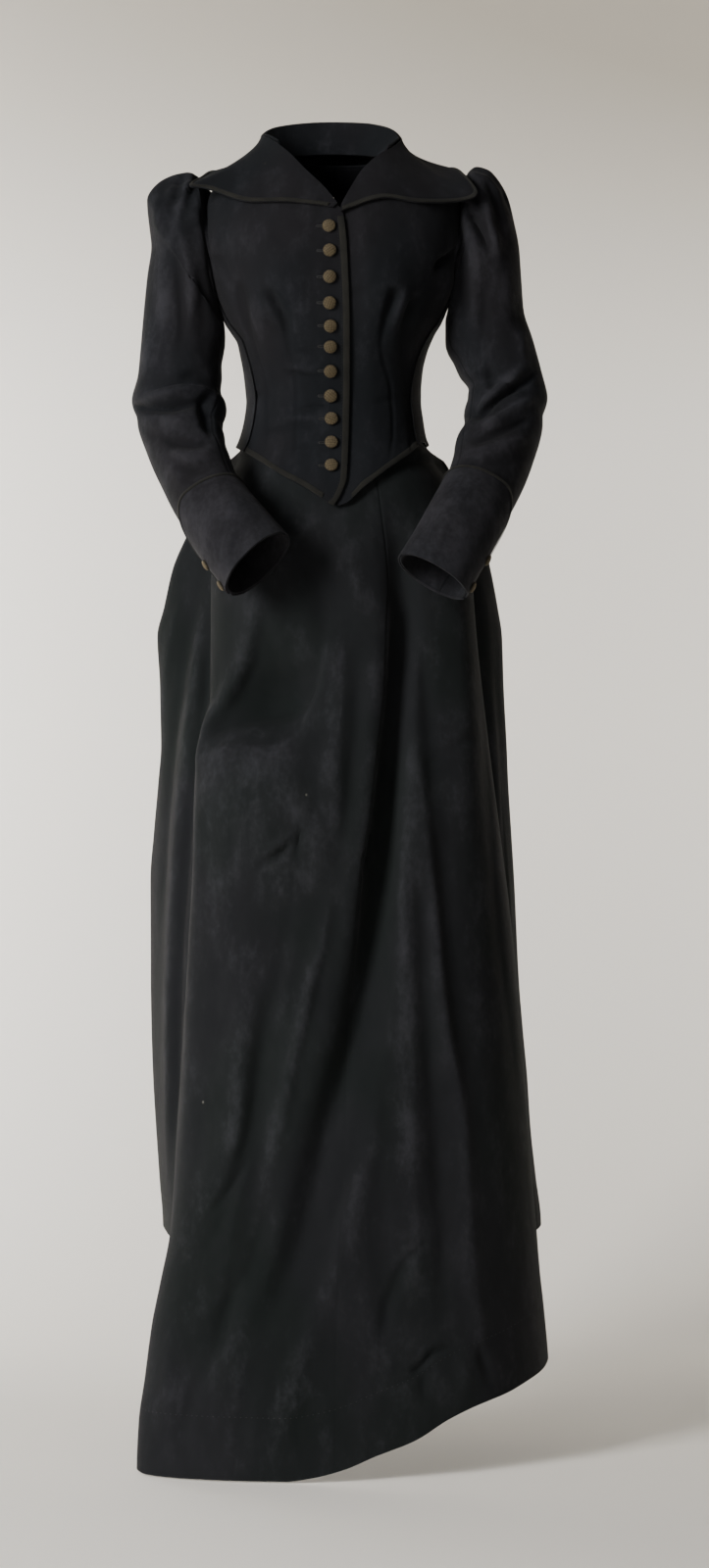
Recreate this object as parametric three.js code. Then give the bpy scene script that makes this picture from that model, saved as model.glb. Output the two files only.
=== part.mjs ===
// Riding habit: a close wool jacket bodice over a long one-sided side-saddle skirt.
// Millimetres. X runs to the wearer's left, Y to the wearer's back, Z up.
// Heights in the tables are measured up from the lowest point of the skirt hem.
import * as THREE from 'three';

// Driving dimensions.
const SHOULDER_HEIGHT = 1655;
const BODICE_WALL = 2.0;
const SKIRT_WALL = 2.0;
const SLEEVE_WALL = 1.8;
const CUFF_WALL = 1.8;
const COLLAR_WALL = 2.4;
const BAND_WALL = 2.4;
const BRAID_WALL = 1.2;
const SEAM_GAP = 0.3;
const SEAT_GAP = 0.3;
const SKIRT_UNDER_JACKET = 7;
const LAP_DEPTH = 3.0;
const LAP_EASE = { start: 3, length: 30 };
const BUTTON_RADIUS = 8.75;
const BUTTON_HEIGHT = 5.0;
const CUFF_BUTTON_RADIUS = 7.5;
const CUFF_BUTTON_HEIGHT = 4.5;
const CUFF_BUTTON_RISES = [0.5, 0.17];
const CUFF_BUTTON_TURN = 15;
const BRAID_WIDTH = 10;
const COLLAR_BRAID_WIDTH = 7;
const CUFF_BRAID_WIDTH = 6;
const DEGREE = Math.PI / 180;

// Armhole: an upright oval round the side of the body form.
const ARMHOLE_MIDDLE = 1580;
const ARMHOLE_HALF_HEIGHT = 75;
const ARMHOLE_HALF_ANGLE = 20;
const SHOULDER_TOP = ARMHOLE_MIDDLE + ARMHOLE_HALF_HEIGHT;
const UNDERARM = ARMHOLE_MIDDLE - ARMHOLE_HALF_HEIGHT;
// Heights where an edge passes from its seam to the armhole, and the level above the slanting hem rows.
const FRONT_SEAM_TOP = 1515;
const BACK_SEAM_TOP = 1602;
const PANEL_LEVEL = 1400;
const HEM_STEPS = 12;
// Angles round the body form of the underarm panel's edges at the armhole.
const UNDERARM_FRONT = 80;
const UNDERARM_BACK = 100;

// Body form of the jacket: half widths to the wearer's right and left, depth to front and back.
const TORSO = {
  columns: ['height', 'right', 'left', 'front', 'back', 'squareness'],
  rows: [
    [1225, 170, 178, 132, 126, 2.2],
    [1270, 152, 160, 121, 110, 2.2],
    [1302, 136, 143, 110, 98, 2.2],
    [1328, 123, 122, 101, 90, 2.25],
    [1354, 116, 117, 94, 86, 2.3],
    [1379, 113, 114, 91, 84, 2.3],
    [1392, 114, 114, 92, 84, 2.3],
    [1418, 117, 116, 98, 87, 2.3],
    [1444, 122, 122, 107, 92, 2.3],
    [1457, 125, 127, 111, 95, 2.3],
    [1470, 133, 133, 115, 98, 2.3],
    [1483, 141.5, 141, 118, 101, 2.3],
    [1497, 147, 147, 120, 103, 2.3],
    [1521, 156, 156, 122, 107, 2.35],
    [1545, 163, 163, 121, 110, 2.4],
    [1570, 169, 169, 118, 112, 2.4],
    [1600, 172, 172, 112, 111, 2.4],
    [1630, 171, 171, 101, 103, 2.3],
    [1655, 160, 160, 90, 92, 2.2],
    [1672, 128, 128, 80, 82, 2.15],
    [1686, 98, 98, 71, 73, 2.1],
    [1702, 67, 67, 60, 62, 2.1],
  ],
};
const BUST = { out: 72, height: 1522, across: 42, up: 46, lift: 8 };

// Lower edge of the jacket by distance from the middle, front and back.
const JACKET_HEM = {
  columns: ['across', 'right', 'left', 'back'],
  rows: [
    [0, 1240, 1239, 1296],
    [15, 1249, 1242, 1298],
    [40, 1265, 1263, 1303],
    [68, 1280, 1285, 1308],
    [100, 1301, 1308, 1314],
    [122, 1314, 1326, 1320],
    [132, 1319, 1328, 1321],
    [180, 1322, 1330, 1322],
  ],
};

// Edge of the lapping front and then of the neck, by height.
const LAP_EDGE = {
  columns: ['height', 'across'],
  rows: [
    [1238, 1], [1247, 7], [1262, 14], [1275, 18], [1349, 21], [1412, 22], [1473, 22],
    [1562, 19], [1619, 13], [1629, 5], [1640, -6], [1655, -22], [1676, -44], [1697, -62], [1702, -66],
  ],
};
const UNDER_EDGE = {
  columns: ['height', 'across'],
  rows: [
    [1238, 6], [1262, 4], [1275, -5], [1349, -5], [1473, -5], [1600, -6], [1612, -3], [1629, 13],
    [1640, 19], [1655, 28], [1676, 47], [1697, 62], [1702, 66],
  ],
};

// Lengthwise seams of the jacket as angles round the body form.
const SEAMS = {
  columns: ['height', 'underarm_front', 'underarm_back', 'side_back'],
  rows: [
    [1225, 60, 118, 150],
    [1380, 60, 118, 150],
    [1440, 66, 112, 147],
    [1480, 74, 106, 142],
    [1515, 80, 100, 136],
    [1554, 80, 100, 125],
    [1580, 80, 100, 116.5],
    [1602, 80, 100, 109.4],
  ],
};

// Sleeves: silhouette points across the picture, depth forward, and half thickness.
const RIGHT_SLEEVE = {
  columns: ['step', 'outer_x', 'outer_z', 'inner_x', 'inner_z', 'forward', 'half_depth'],
  rows: [
    [1, 178, 1675, 152.5, 1501, 0, 49],
    [2, 188, 1679, 149.5, 1496, 0, 53],
    [3, 204, 1677, 147, 1491, 0, 55],
    [4, 228, 1667, 145, 1486, 0, 56],
    [5, 245, 1643, 143.5, 1480, 0, 56],
    [6, 243, 1612, 143, 1473, 1, 55],
    [7, 240, 1583, 142.5, 1465, 2, 54],
    [8, 245, 1545, 142.5, 1455, 4, 53],
    [9, 250, 1495, 144.5, 1441, 6, 52],
    [10, 254, 1447, 147, 1425, 11, 52],
    [11, 257, 1413, 145.5, 1405, 17, 51],
    [12, 265, 1377, 141, 1383, 24, 50],
    [13, 259, 1350, 141, 1366, 36, 49],
    [14, 247, 1318, 143, 1349, 54, 47],
    [15, 235, 1289, 142, 1330, 74, 45],
    [16, 221, 1261, 134, 1304, 96, 43],
    [17, 207, 1234, 124, 1277, 119, 41],
    [18, 189, 1205, 109, 1256, 143, 40],
    [19, 172, 1180, 92, 1236, 165, 39],
    [20, 151, 1153, 75, 1217, 184, 38],
    [21, 131, 1127, 59, 1199, 200, 37],
  ],
};
const LEFT_SLEEVE = {
  columns: ['step', 'outer_x', 'outer_z', 'inner_x', 'inner_z', 'forward', 'half_depth'],
  rows: [
    [1, 178, 1681, 153, 1501, 0, 49],
    [2, 187, 1686, 150.5, 1496, 0, 54],
    [3, 203, 1682, 148.8, 1491, 0, 56],
    [4, 218, 1667, 148, 1486, 0, 57],
    [5, 230, 1645, 147.8, 1480, 0, 57],
    [6, 238, 1615, 147.8, 1472, 1, 56],
    [7, 245, 1580, 147.8, 1463, 2, 55],
    [8, 248, 1540, 148, 1453, 4, 54],
    [9, 251, 1500, 151, 1442, 6, 53],
    [10, 263, 1460, 158, 1430, 11, 53],
    [11, 274, 1418, 166, 1411, 17, 52],
    [12, 282, 1380, 174, 1388, 24, 51],
    [13, 277, 1352, 173, 1366, 36, 50],
    [14, 271, 1326, 167, 1343, 50, 48],
    [15, 263, 1302, 160, 1324, 68, 46],
    [16, 252, 1273, 156, 1304, 92, 44],
    [17, 238, 1244, 150, 1284, 117, 42],
    [18, 223, 1218, 139, 1262, 142, 40],
    [19, 208, 1192, 125, 1237, 165, 39],
    [20, 188, 1157, 106, 1203, 184, 38],
    [21, 168, 1122, 86, 1171, 200, 37],
  ],
};
const SLEEVE_SQUARENESS = 2.1;
// Turns round a sleeve where its columns stand; the armhole edges of the jacket share them.
const UPPER_SLEEVE_TURNS = [-70, -50, -25, 0, 25, 50, 70, 90, 110, 130, 150];
const UNDER_SLEEVE_TURNS = [150, 180, 210, 230, 250, 270, 290];
const SLEEVE_GAP_TURN = 0.5;
const ARMHOLE_SHIFT = 0.9;
// Steps of the sleeve tables where the table ends and where the cuff starts and dips to its slit.
const SLEEVE_END = 21;
const CUFF_START = 17.4;
const CUFF_SLIT_TOP = 20.2;
const CUFF_LIFT = 1.1;

// Apron, the front layer of the skirt: edge points, edge depth, front depth, squareness.
const APRON = {
  columns: ['height', 'right_x', 'left_x', 'right_y', 'left_y', 'front', 'squareness', 'edge_angle'],
  rows: [
    [0, 252, 287, -196, -60, 268, 2.3, 90],
    [60, 250, 286, -182, -60, 262, 2.3, 90],
    [112, 243, 284, -172, -60, 256, 2.3, 90],
    [182, 234, 278, -158, -60, 249, 2.3, 90],
    [237, 223, 272, -148, -60, 243, 2.3, 90],
    [300, 211, 267, -138, -60, 237, 2.3, 90],
    [437, 202, 256, -126, -60, 224, 2.3, 90],
    [515, 197, 250, -122, -60, 216, 2.3, 90],
    [683, 187, 235, -114, -60, 199, 2.3, 90],
    [812, 180, 219, -110, -60, 185, 2.3, 90],
    [912, 177, 206, -106, -60, 172, 2.3, 90],
    [945, 169, 202, -98, -60, 168, 2.25, 90],
    [985, 160, 197, -84, -60, 162, 2.2, 90],
    [1069, 160, 188, -64, -60, 153, 2.2, 90],
    [1133, 160, 183, -52, -52, 146, 2.2, 90],
    [1198, 157, 176, -30, -30, 134, 2.2, 90],
    [1244, 152, 164, -12, -12, 119, 2.2, 86],
    [1275, 143, 152, -4, -4, 111, 2.2, 80],
    [1302, 129, 136, 0, 0, 103, 2.2, 76],
  ],
};
const UPPER_SKIRT_FROM = 1302;
const UPPER_SKIRT_FULL = 1320;

// Hem of the apron: height by position across, lowest at the wearer's right.
const APRON_HEM = {
  columns: ['across', 'height'],
  rows: [
    [-260, 3], [-240, 0], [-60, 0], [-24, 5], [17, 16], [53, 31], [106, 50],
    [149, 74], [182, 87], [199, 92], [226, 99], [255, 109], [277, 116], [290, 122],
  ],
};

// Seam of the apron between the knee piece and the plain piece.
const APRON_SEAM = {
  columns: ['height', 'across'],
  rows: [
    [0, 3], [138, 4], [261, 7], [445, 14], [632, 24], [769, 34], [844, 45], [932, 55],
    [1007, 64], [1107, 70], [1133, 74], [1240, 62], [1392, 40],
  ],
};

// Back layer of the skirt: side silhouettes, fold lines inside them, and depth.
const BACK = {
  columns: [
    'height', 'right_x', 'left_x', 'right_fold', 'left_fold',
    'right_fold_y', 'left_fold_y', 'side_y', 'depth',
  ],
  rows: [
    [284, 228, 276, 219, 272, -62, -28, 36, 255],
    [350, 233, 268, 221, 266, -62, -28, 36, 250],
    [416, 238, 261, 221, 259, -62, -28, 36, 244],
    [482, 242, 257, 220, 254, -60, -28, 36, 239],
    [547, 244, 251, 219, 248, -60, -28, 36, 233],
    [613, 245, 246, 217, 242, -58, -28, 35, 227],
    [743, 245, 240, 210, 234, -56, -28, 33, 214],
    [809, 240, 236, 206, 229, -54, -28, 31, 206],
    [874, 234, 232, 199, 224, -52, -28, 29, 198],
    [926, 230, 230, 194, 220, -50, -28, 27, 191],
    [1004, 231, 226, 184, 214, -42, -26, 25, 180],
    [1069, 234, 224, 178, 209, -32, -24, 23, 168],
    [1108, 225, 218, 176, 205, -24, -22, 21, 160],
    [1160, 213, 208, 172, 196, -10, -12, 19, 147],
    [1198, 197, 199, 169, 187, -2, -4, 17, 137],
    [1244, 172, 178, 160, 171, 4, 4, 15, 119],
    [1275, 153, 161, 148, 156, 6, 6, 13, 100],
    [1302, 138, 145, 135, 142, 5, 5, 12, 89],
    [1320, 120, 120, 118, 118, 4, 4, 10, 84],
  ],
};
const BACK_FLUTES = [
  { angle: 112, width: 8, depth: 7 },
  { angle: 131, width: 9, depth: 12 },
  { angle: 152, width: 8, depth: 15 },
  { angle: 172, width: 9, depth: 12 },
  { angle: 193, width: 9, depth: 15 },
  { angle: 214, width: 9, depth: 12 },
  { angle: 236, width: 9, depth: 9 },
];

// Long folds of the apron: position across by height, with depth and half width.
const CENTRE_VALLEY = {
  columns: ['height', 'across', 'depth', 'width'],
  rows: [
    [160, -92, 0, 24], [235, -65, 10, 24], [305, -40, 15, 24], [436, -8, 20, 24], [594, 34, 24, 22],
    [769, 58, 24, 21], [844, 66, 22, 20], [932, 74, 20, 20], [1007, 80, 17, 20], [1107, 86, 12, 20],
    [1200, 84, 5, 20], [1260, 80, 0, 20],
  ],
};
const KNEE_VALLEY = {
  columns: ['height', 'across', 'depth', 'width'],
  rows: [
    [140, -160, 0, 20], [223, -130, 9, 20], [282, -107, 11, 20], [363, -96, 11, 20],
    [520, -84, 7, 20], [640, -76, 0, 20],
  ],
};
const OUTER_RIDGE = {
  columns: ['height', 'across', 'depth', 'width'],
  rows: [
    [130, 196, 0, 24], [256, 181, -6, 24], [437, 173, -8, 24], [592, 147, -8, 24],
    [741, 134, -7, 24], [899, 116, -5, 24], [1000, 108, 0, 24],
  ],
};
// Hollow over the knee and the bulge below it, positive depth inward.
const KNEE_FORMS = [
  { across: -74, height: 996, half_across: 62, half_height: 58, depth: 30 },
  { across: -92, height: 846, half_across: 92, half_height: 90, depth: -20 },
];

// Neck of the jacket, roll of the collar and its outer edge, point by point from right to left.
const COLLAR = {
  columns: ['roll_x', 'roll_y', 'roll_z', 'edge_x', 'edge_y', 'edge_z', 'stand', 'arch'],
  rows: [
    [7, -105, 1629, 2, -107, 1624, 1, 0],
    [-12, -96, 1653, -35, -105.5, 1629, 2, 0.02],
    [-35, -82, 1676, -66, -101.5, 1632, 5, 0.03],
    [-57, -63, 1700, -115, -89, 1634, 12, 0.02],
    [-76, -38, 1717, -163, -68, 1652, 15, -0.02],
    [-90, -14, 1727, -187, -62, 1657, 25, -0.06],
    [-95, 10, 1731, -174, -28, 1671, 31, -0.12],
    [-83, 38, 1743, -160, 10, 1682, 40, -0.14],
    [-56, 60, 1751, -136, 62, 1670, 46, -0.12],
    [-22, 70, 1755, -68, 105, 1662, 48, -0.08],
    [22, 70, 1755, 68, 105, 1662, 48, -0.08],
    [52, 62, 1752, 136, 62, 1672, 46, -0.12],
    [77, 40, 1743, 158, 10, 1686, 40, -0.14],
    [90, 12, 1728, 173, -28, 1674, 27, -0.12],
    [87, -14, 1720, 188, -64, 1647, 18, -0.06],
    [76, -38, 1709, 168, -70, 1636, 9, -0.02],
    [59, -61, 1697, 113, -90, 1632, 11, 0.02],
    [38, -80, 1676, 66, -100, 1637, 5, 0.03],
    [21, -97, 1648, 22, -107.5, 1623, 2, 0.02],
    [10, -105.6, 1627, 10, -109.3, 1618, 1, 0],
  ],
};

// Heights of the front buttons and their places across.
const FRONT_BUTTONS = [
  [1599, -5], [1567, -4], [1533, -4], [1500, -4], [1471, -3], [1445, -3],
  [1414, -3], [1382, -3], [1352, -2], [1321, -2], [1291, -2],
];

// Colours of the materials.
const WOOL_JACKET = { color: 0x23252d, roughness: 0.95, metalness: 0 };
const WOOL_SKIRT = { color: 0x212321, roughness: 0.95, metalness: 0 };
const BRAID = { color: 0x2b241c, roughness: 0.85, metalness: 0 };
const BUTTON = { color: 0x5a4630, roughness: 0.6, metalness: 0 };
const BANDING = { color: 0x1d1d20, roughness: 0.9, metalness: 0 };

const clamp = (value, low, high) => Math.min(high, Math.max(low, value));
const mix = (a, b, t) => a + (b - a) * t;
const smooth = (t) => t * t * (3 - 2 * t);
const bell = (distance, width) => Math.exp(-(distance * distance) / (width * width));

// Slope at a table row that keeps the curve from overshooting.
function rowSlope(rows, index, column) {
  if (index === 0 || index === rows.length - 1) return 0;
  const before = (rows[index][column] - rows[index - 1][column]) / (rows[index][0] - rows[index - 1][0]);
  const after = (rows[index + 1][column] - rows[index][column]) / (rows[index + 1][0] - rows[index][0]);
  return before * after <= 0 ? 0 : (2 * before * after) / (before + after);
}

// Value of a named column at a position along the table's first column.
function read(table, name, position) {
  const rows = table.rows;
  const column = table.columns.indexOf(name);
  const last = rows.length - 1;
  if (position <= rows[0][0]) return rows[0][column];
  if (position >= rows[last][0]) return rows[last][column];
  let index = 0;
  while (rows[index + 1][0] < position) index += 1;
  const span = rows[index + 1][0] - rows[index][0];
  const t = (position - rows[index][0]) / span;
  const square = t * t;
  const cube = square * t;
  const startSlope = rowSlope(rows, index, column) * span;
  const endSlope = rowSlope(rows, index + 1, column) * span;
  return rows[index][column] * (2 * cube - 3 * square + 1) + startSlope * (cube - 2 * square + t)
    + rows[index + 1][column] * (3 * square - 2 * cube) + endSlope * (cube - square);
}

// Smooth curve through points, at a position counted in points.
function curveThrough(points, position) {
  const last = points.length - 1;
  const index = clamp(Math.floor(position), 0, last - 1);
  const t = position - index;
  const before = points[Math.max(index - 1, 0)];
  const start = points[index];
  const end = points[index + 1];
  const after = points[Math.min(index + 2, last)];
  return start.map((value, axis) => {
    const a = 2 * value;
    const b = end[axis] - before[axis];
    const c = 2 * before[axis] - 5 * value + 4 * end[axis] - after[axis];
    const d = -before[axis] + 3 * value - 3 * end[axis] + after[axis];
    return 0.5 * (a + b * t + c * t * t + d * t * t * t);
  });
}

const lifted = (point, normal, lift) => point.clone().addScaledVector(normal, lift);

// Outward normal of a surface given as a function of two values.
function normalOf(surface, u, v, stepU, stepV) {
  const alongU = surface(u + stepU, v).sub(surface(u - stepU, v));
  const alongV = surface(u, v + stepV).sub(surface(u, v - stepV));
  return alongU.cross(alongV).normalize();
}

// Closed wall of cloth: outer points in rows, offset inward by the wall along the normals.
function wallMesh(name, outer, normals, wall, material, closed = false) {
  const rows = outer.length;
  const columns = outer[0].length;
  const positions = [];
  for (let row = 0; row < rows; row += 1) {
    for (let column = 0; column < columns; column += 1) {
      positions.push(...outer[row][column].toArray());
    }
  }
  for (let row = 0; row < rows; row += 1) {
    for (let column = 0; column < columns; column += 1) {
      positions.push(...lifted(outer[row][column], normals[row][column], -wall).toArray());
    }
  }
  const shift = rows * columns;
  const at = (row, column) => row * columns + (column % columns);
  const faces = [];
  const quad = (a, b, c, d) => faces.push(a, b, c, a, c, d);
  const lastColumn = closed ? columns : columns - 1;
  for (let row = 0; row < rows - 1; row += 1) {
    for (let column = 0; column < lastColumn; column += 1) {
      const a = at(row, column);
      const b = at(row, column + 1);
      const c = at(row + 1, column + 1);
      const d = at(row + 1, column);
      quad(a, b, c, d);
      quad(a + shift, d + shift, c + shift, b + shift);
    }
  }
  for (let column = 0; column < lastColumn; column += 1) {
    const a = at(0, column);
    const b = at(0, column + 1);
    quad(b, a, a + shift, b + shift);
    const c = at(rows - 1, column);
    const d = at(rows - 1, column + 1);
    quad(c, d, d + shift, c + shift);
  }
  if (!closed) {
    for (let row = 0; row < rows - 1; row += 1) {
      const a = at(row, 0);
      const b = at(row + 1, 0);
      quad(a, b, b + shift, a + shift);
      const c = at(row, columns - 1);
      const d = at(row + 1, columns - 1);
      quad(d, c, c + shift, d + shift);
    }
  }
  return meshFrom(name, positions, faces, material);
}

function meshFrom(name, positions, faces, material) {
  const geometry = new THREE.BufferGeometry();
  geometry.setAttribute('position', new THREE.Float32BufferAttribute(positions, 3));
  geometry.setIndex(faces);
  geometry.computeVertexNormals();
  const mesh = new THREE.Mesh(geometry, new THREE.MeshStandardMaterial(material));
  mesh.name = name;
  return mesh;
}

const evenly = (count) => Array.from({ length: count + 1 }, (_, index) => index / count);

// Point of the body form at an angle from the front (positive to the wearer's left) and a height.
function torsoBase(angle, height) {
  const sine = Math.sin(angle * DEGREE);
  const cosine = Math.cos(angle * DEGREE);
  const half = read(TORSO, sine >= 0 ? 'left' : 'right', height);
  const depth = read(TORSO, cosine >= 0 ? 'front' : 'back', height);
  const power = 2 / read(TORSO, 'squareness', height);
  const x = Math.sign(sine) * half * Math.abs(sine) ** power;
  let y = -Math.sign(cosine) * depth * Math.abs(cosine) ** power;
  if (cosine > 0) {
    y -= BUST.lift * bell(Math.abs(x) - BUST.out, BUST.across) * bell(height - BUST.height, BUST.up);
  }
  return new THREE.Vector3(x, y, height);
}

const torsoNormal = (angle, height) => normalOf(torsoBase, angle, height, 0.6, 1.5);

function torsoLifted(angle, height, lift) {
  return lifted(torsoBase(angle, height), torsoNormal(angle, height), lift);
}

// Angle on the front of the body form where the surface stands at a given distance across.
function frontAngleAt(across, height) {
  const half = read(TORSO, across >= 0 ? 'left' : 'right', height);
  const sine = clamp(Math.abs(across) / half, 0, 0.999) ** (read(TORSO, 'squareness', height) / 2);
  return Math.sign(across) * Math.asin(sine) / DEGREE;
}

// Height of the jacket's lower edge, read where an angle of the form stands across at a height.
function jacketHem(angle, height) {
  const across = torsoBase(angle, height).x;
  const sideName = across < 0 ? 'right' : 'left';
  const front = read(JACKET_HEM, sideName, Math.abs(across));
  const back = read(JACKET_HEM, 'back', Math.abs(across));
  const share = smooth(clamp((Math.abs(angle) - UNDERARM_FRONT) / (UNDERARM_BACK - UNDERARM_FRONT), 0, 1));
  return mix(front, back, share);
}

// Angle of the armhole edge nearest the front or the back at a height.
function armholeAngle(height, towardBack) {
  const rise = clamp((height - ARMHOLE_MIDDLE) / ARMHOLE_HALF_HEIGHT, -1, 1);
  const reach = ARMHOLE_HALF_ANGLE * Math.sqrt(1 - rise * rise);
  return 90 + (towardBack ? reach : -reach);
}

// Height of the bottom of the armhole at an angle.
function armholeFloor(angle) {
  const share = clamp((angle - 90) / ARMHOLE_HALF_ANGLE, -1, 1);
  return ARMHOLE_MIDDLE - ARMHOLE_HALF_HEIGHT * Math.sqrt(1 - share * share);
}

// Half a seam gap as an angle on the form.
const gapAngle = (height) => (SEAM_GAP / 2 + 0.05) / (read(TORSO, 'front', height) * DEGREE);

// Outer points and normals of finished pieces, for what lies on them.
const grids = {};

// Rows below the level spread down to the hem, found step by step where the panel's own edges stand.
function hemmedHeight(side, innerEdge, outerEdge, lowest, height, share) {
  if (height >= PANEL_LEVEL) return height;
  let own = height;
  for (let step = 0; step < HEM_STEPS; step += 1) {
    const hem = jacketHem(side * mix(innerEdge(own), outerEdge(own), share), own);
    own = mix(own, mix(hem, PANEL_LEVEL, (height - lowest) / (PANEL_LEVEL - lowest)), 0.6);
  }
  return own;
}

// A jacket panel between two edges that run by height, from the hem to a level top.
function bodicePanel(name, side, columns, innerEdge, outerEdge, heights, lift) {
  const outer = [];
  const normals = [];
  for (const height of heights) {
    const points = [];
    const directions = [];
    for (const share of evenly(columns)) {
      const own = hemmedHeight(side, innerEdge, outerEdge, heights[0], height, share);
      const angle = mix(innerEdge(own), outerEdge(own), share);
      const normal = torsoNormal(side * angle, own);
      const point = lifted(torsoBase(side * angle, own), normal, lift(side * angle, own));
      points.push(point);
      directions.push(normal);
    }
    if (side < 0) {
      points.reverse();
      directions.reverse();
    }
    outer.push(points);
    normals.push(directions);
  }
  grids[name] = { outer, normals };
  return wallMesh(name, outer, normals, BODICE_WALL, WOOL_JACKET);
}

// Row heights shared by the panels, so that neighbours meet along the same points.
const LOW_HEIGHTS = [1240, 1290, 1328, 1350, 1368, 1384, 1400, 1424, 1452, 1484];
const ARM_HEIGHTS = [150, 130, 110, 90, 70, 50, 25, 0].map(
  (turn) => ARMHOLE_MIDDLE + ARMHOLE_HALF_HEIGHT * Math.cos(turn * DEGREE),
);
const TOP_HEIGHTS = [1668, 1682, 1697];
const FRONT_HEIGHTS = [...LOW_HEIGHTS, ...ARM_HEIGHTS, ...TOP_HEIGHTS];
const SIDE_BACK_TOP = 1595;
// Columns of facets across each panel.
const PANEL_COLUMNS = { front: 9, underarm: 4, side_back: 3, back: 6 };

function frontOuterEdge(height) {
  const seam = read(SEAMS, 'underarm_front', height);
  let edge = seam;
  if (height > FRONT_SEAM_TOP) edge = armholeAngle(height, false);
  if (height >= SHOULDER_TOP) edge = 90;
  return edge - gapAngle(height);
}

function frontRight() {
  const inner = (height) => -frontAngleAt(read(LAP_EDGE, 'across', height), height);
  return bodicePanel('front_right', -1, PANEL_COLUMNS.front, inner, frontOuterEdge, FRONT_HEIGHTS, () => 0);
}

// The under front drops below the lap so that the two layers never touch.
function underLapDrop(angle, height) {
  const across = torsoBase(angle, height).x;
  const lapEdge = read(LAP_EDGE, 'across', height);
  return -LAP_DEPTH * (1 - smooth(clamp((across - lapEdge - LAP_EASE.start) / LAP_EASE.length, 0, 1)));
}

function frontLeft() {
  const inner = (height) => frontAngleAt(read(UNDER_EDGE, 'across', height), height);
  const columns = PANEL_COLUMNS.front;
  return bodicePanel('front_left', 1, columns, inner, frontOuterEdge, FRONT_HEIGHTS, underLapDrop);
}

// Panel under the arm, from the jacket hem to the floor of the armhole.
function underarm(name, side) {
  const outer = [];
  const normals = [];
  const frontEdge = (height) => read(SEAMS, 'underarm_front', height) + gapAngle(height);
  const backEdge = (height) => read(SEAMS, 'underarm_back', height) - gapAngle(height);
  for (const nominal of [...LOW_HEIGHTS, UNDERARM]) {
    const points = [];
    const directions = [];
    for (const share of evenly(PANEL_COLUMNS.underarm)) {
      let height = hemmedHeight(side, frontEdge, backEdge, LOW_HEIGHTS[0], nominal, share);
      if (nominal === UNDERARM) {
        height = armholeFloor(mix(UNDERARM_FRONT, UNDERARM_BACK, share)) - SEAM_GAP / 2;
      }
      const angle = side * mix(frontEdge(height), backEdge(height), share);
      points.push(torsoBase(angle, height));
      directions.push(torsoNormal(angle, height));
    }
    if (side < 0) {
      points.reverse();
      directions.reverse();
    }
    outer.push(points);
    normals.push(directions);
  }
  grids[name] = { outer, normals };
  return wallMesh(name, outer, normals, BODICE_WALL, WOOL_JACKET);
}

function sideBack(name, side) {
  const heights = [...LOW_HEIGHTS, ...ARM_HEIGHTS.slice(0, 4), SIDE_BACK_TOP];
  const inner = (height) => {
    const seam = read(SEAMS, 'underarm_back', height);
    return (height > FRONT_SEAM_TOP ? armholeAngle(height, true) : seam) + gapAngle(height);
  };
  const outer = (height) => read(SEAMS, 'side_back', height) - gapAngle(height);
  return bodicePanel(name, side, PANEL_COLUMNS.side_back, inner, outer, heights, () => 0);
}

function backPanel(name, side) {
  const heights = [
    ...LOW_HEIGHTS, ...ARM_HEIGHTS.slice(0, 4), SIDE_BACK_TOP, ...ARM_HEIGHTS.slice(4), ...TOP_HEIGHTS,
  ];
  const inner = (height) => {
    let edge = read(SEAMS, 'side_back', height);
    if (height > BACK_SEAM_TOP) edge = armholeAngle(height, true);
    if (height >= SHOULDER_TOP) edge = 90;
    return edge + gapAngle(height);
  };
  const outer = (height) => 180 - gapAngle(height);
  return bodicePanel(name, side, PANEL_COLUMNS.back, inner, outer, heights, () => 0);
}

// Point of the armhole edge of the body form, by the turn round the sleeve.
function armholePoint(side, turn) {
  const angle = 90 - ARMHOLE_HALF_ANGLE * Math.sin(turn * DEGREE);
  const height = ARMHOLE_MIDDLE + ARMHOLE_HALF_HEIGHT * Math.cos(turn * DEGREE);
  const point = torsoBase(side * angle, height);
  point.x += side * ARMHOLE_SHIFT;
  return point;
}

// Middle, outward half axis and forward half axis of a sleeve ring.
function sleeveRing(table, side, step) {
  const row = (name, place) => read(table, name, place);
  const middleAt = (place) => new THREE.Vector3(
    side * (row('outer_x', place) + row('inner_x', place)) / 2,
    -row('forward', place),
    (row('outer_z', place) + row('inner_z', place)) / 2,
  );
  const middle = middleAt(step);
  const across = new THREE.Vector3(
    side * (row('outer_x', step) - row('inner_x', step)) / 2,
    0,
    (row('outer_z', step) - row('inner_z', step)) / 2,
  );
  const ahead = middleAt(Math.min(step + 0.5, SLEEVE_END)).sub(middleAt(Math.max(step - 0.5, 1)));
  const forward = new THREE.Vector3().crossVectors(across, ahead);
  if (forward.y > 0) forward.negate();
  if (step < 6) forward.set(0, -1, 0);
  forward.normalize().multiplyScalar(row('half_depth', step));
  return { middle, across, forward };
}

const HEAD_GATHERS = 2.6;
const ELBOW_CREASE = { step: 12.1, depth: 5 };
const FOREARM_CREASE = { step: 13.5, depth: 3 };

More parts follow.
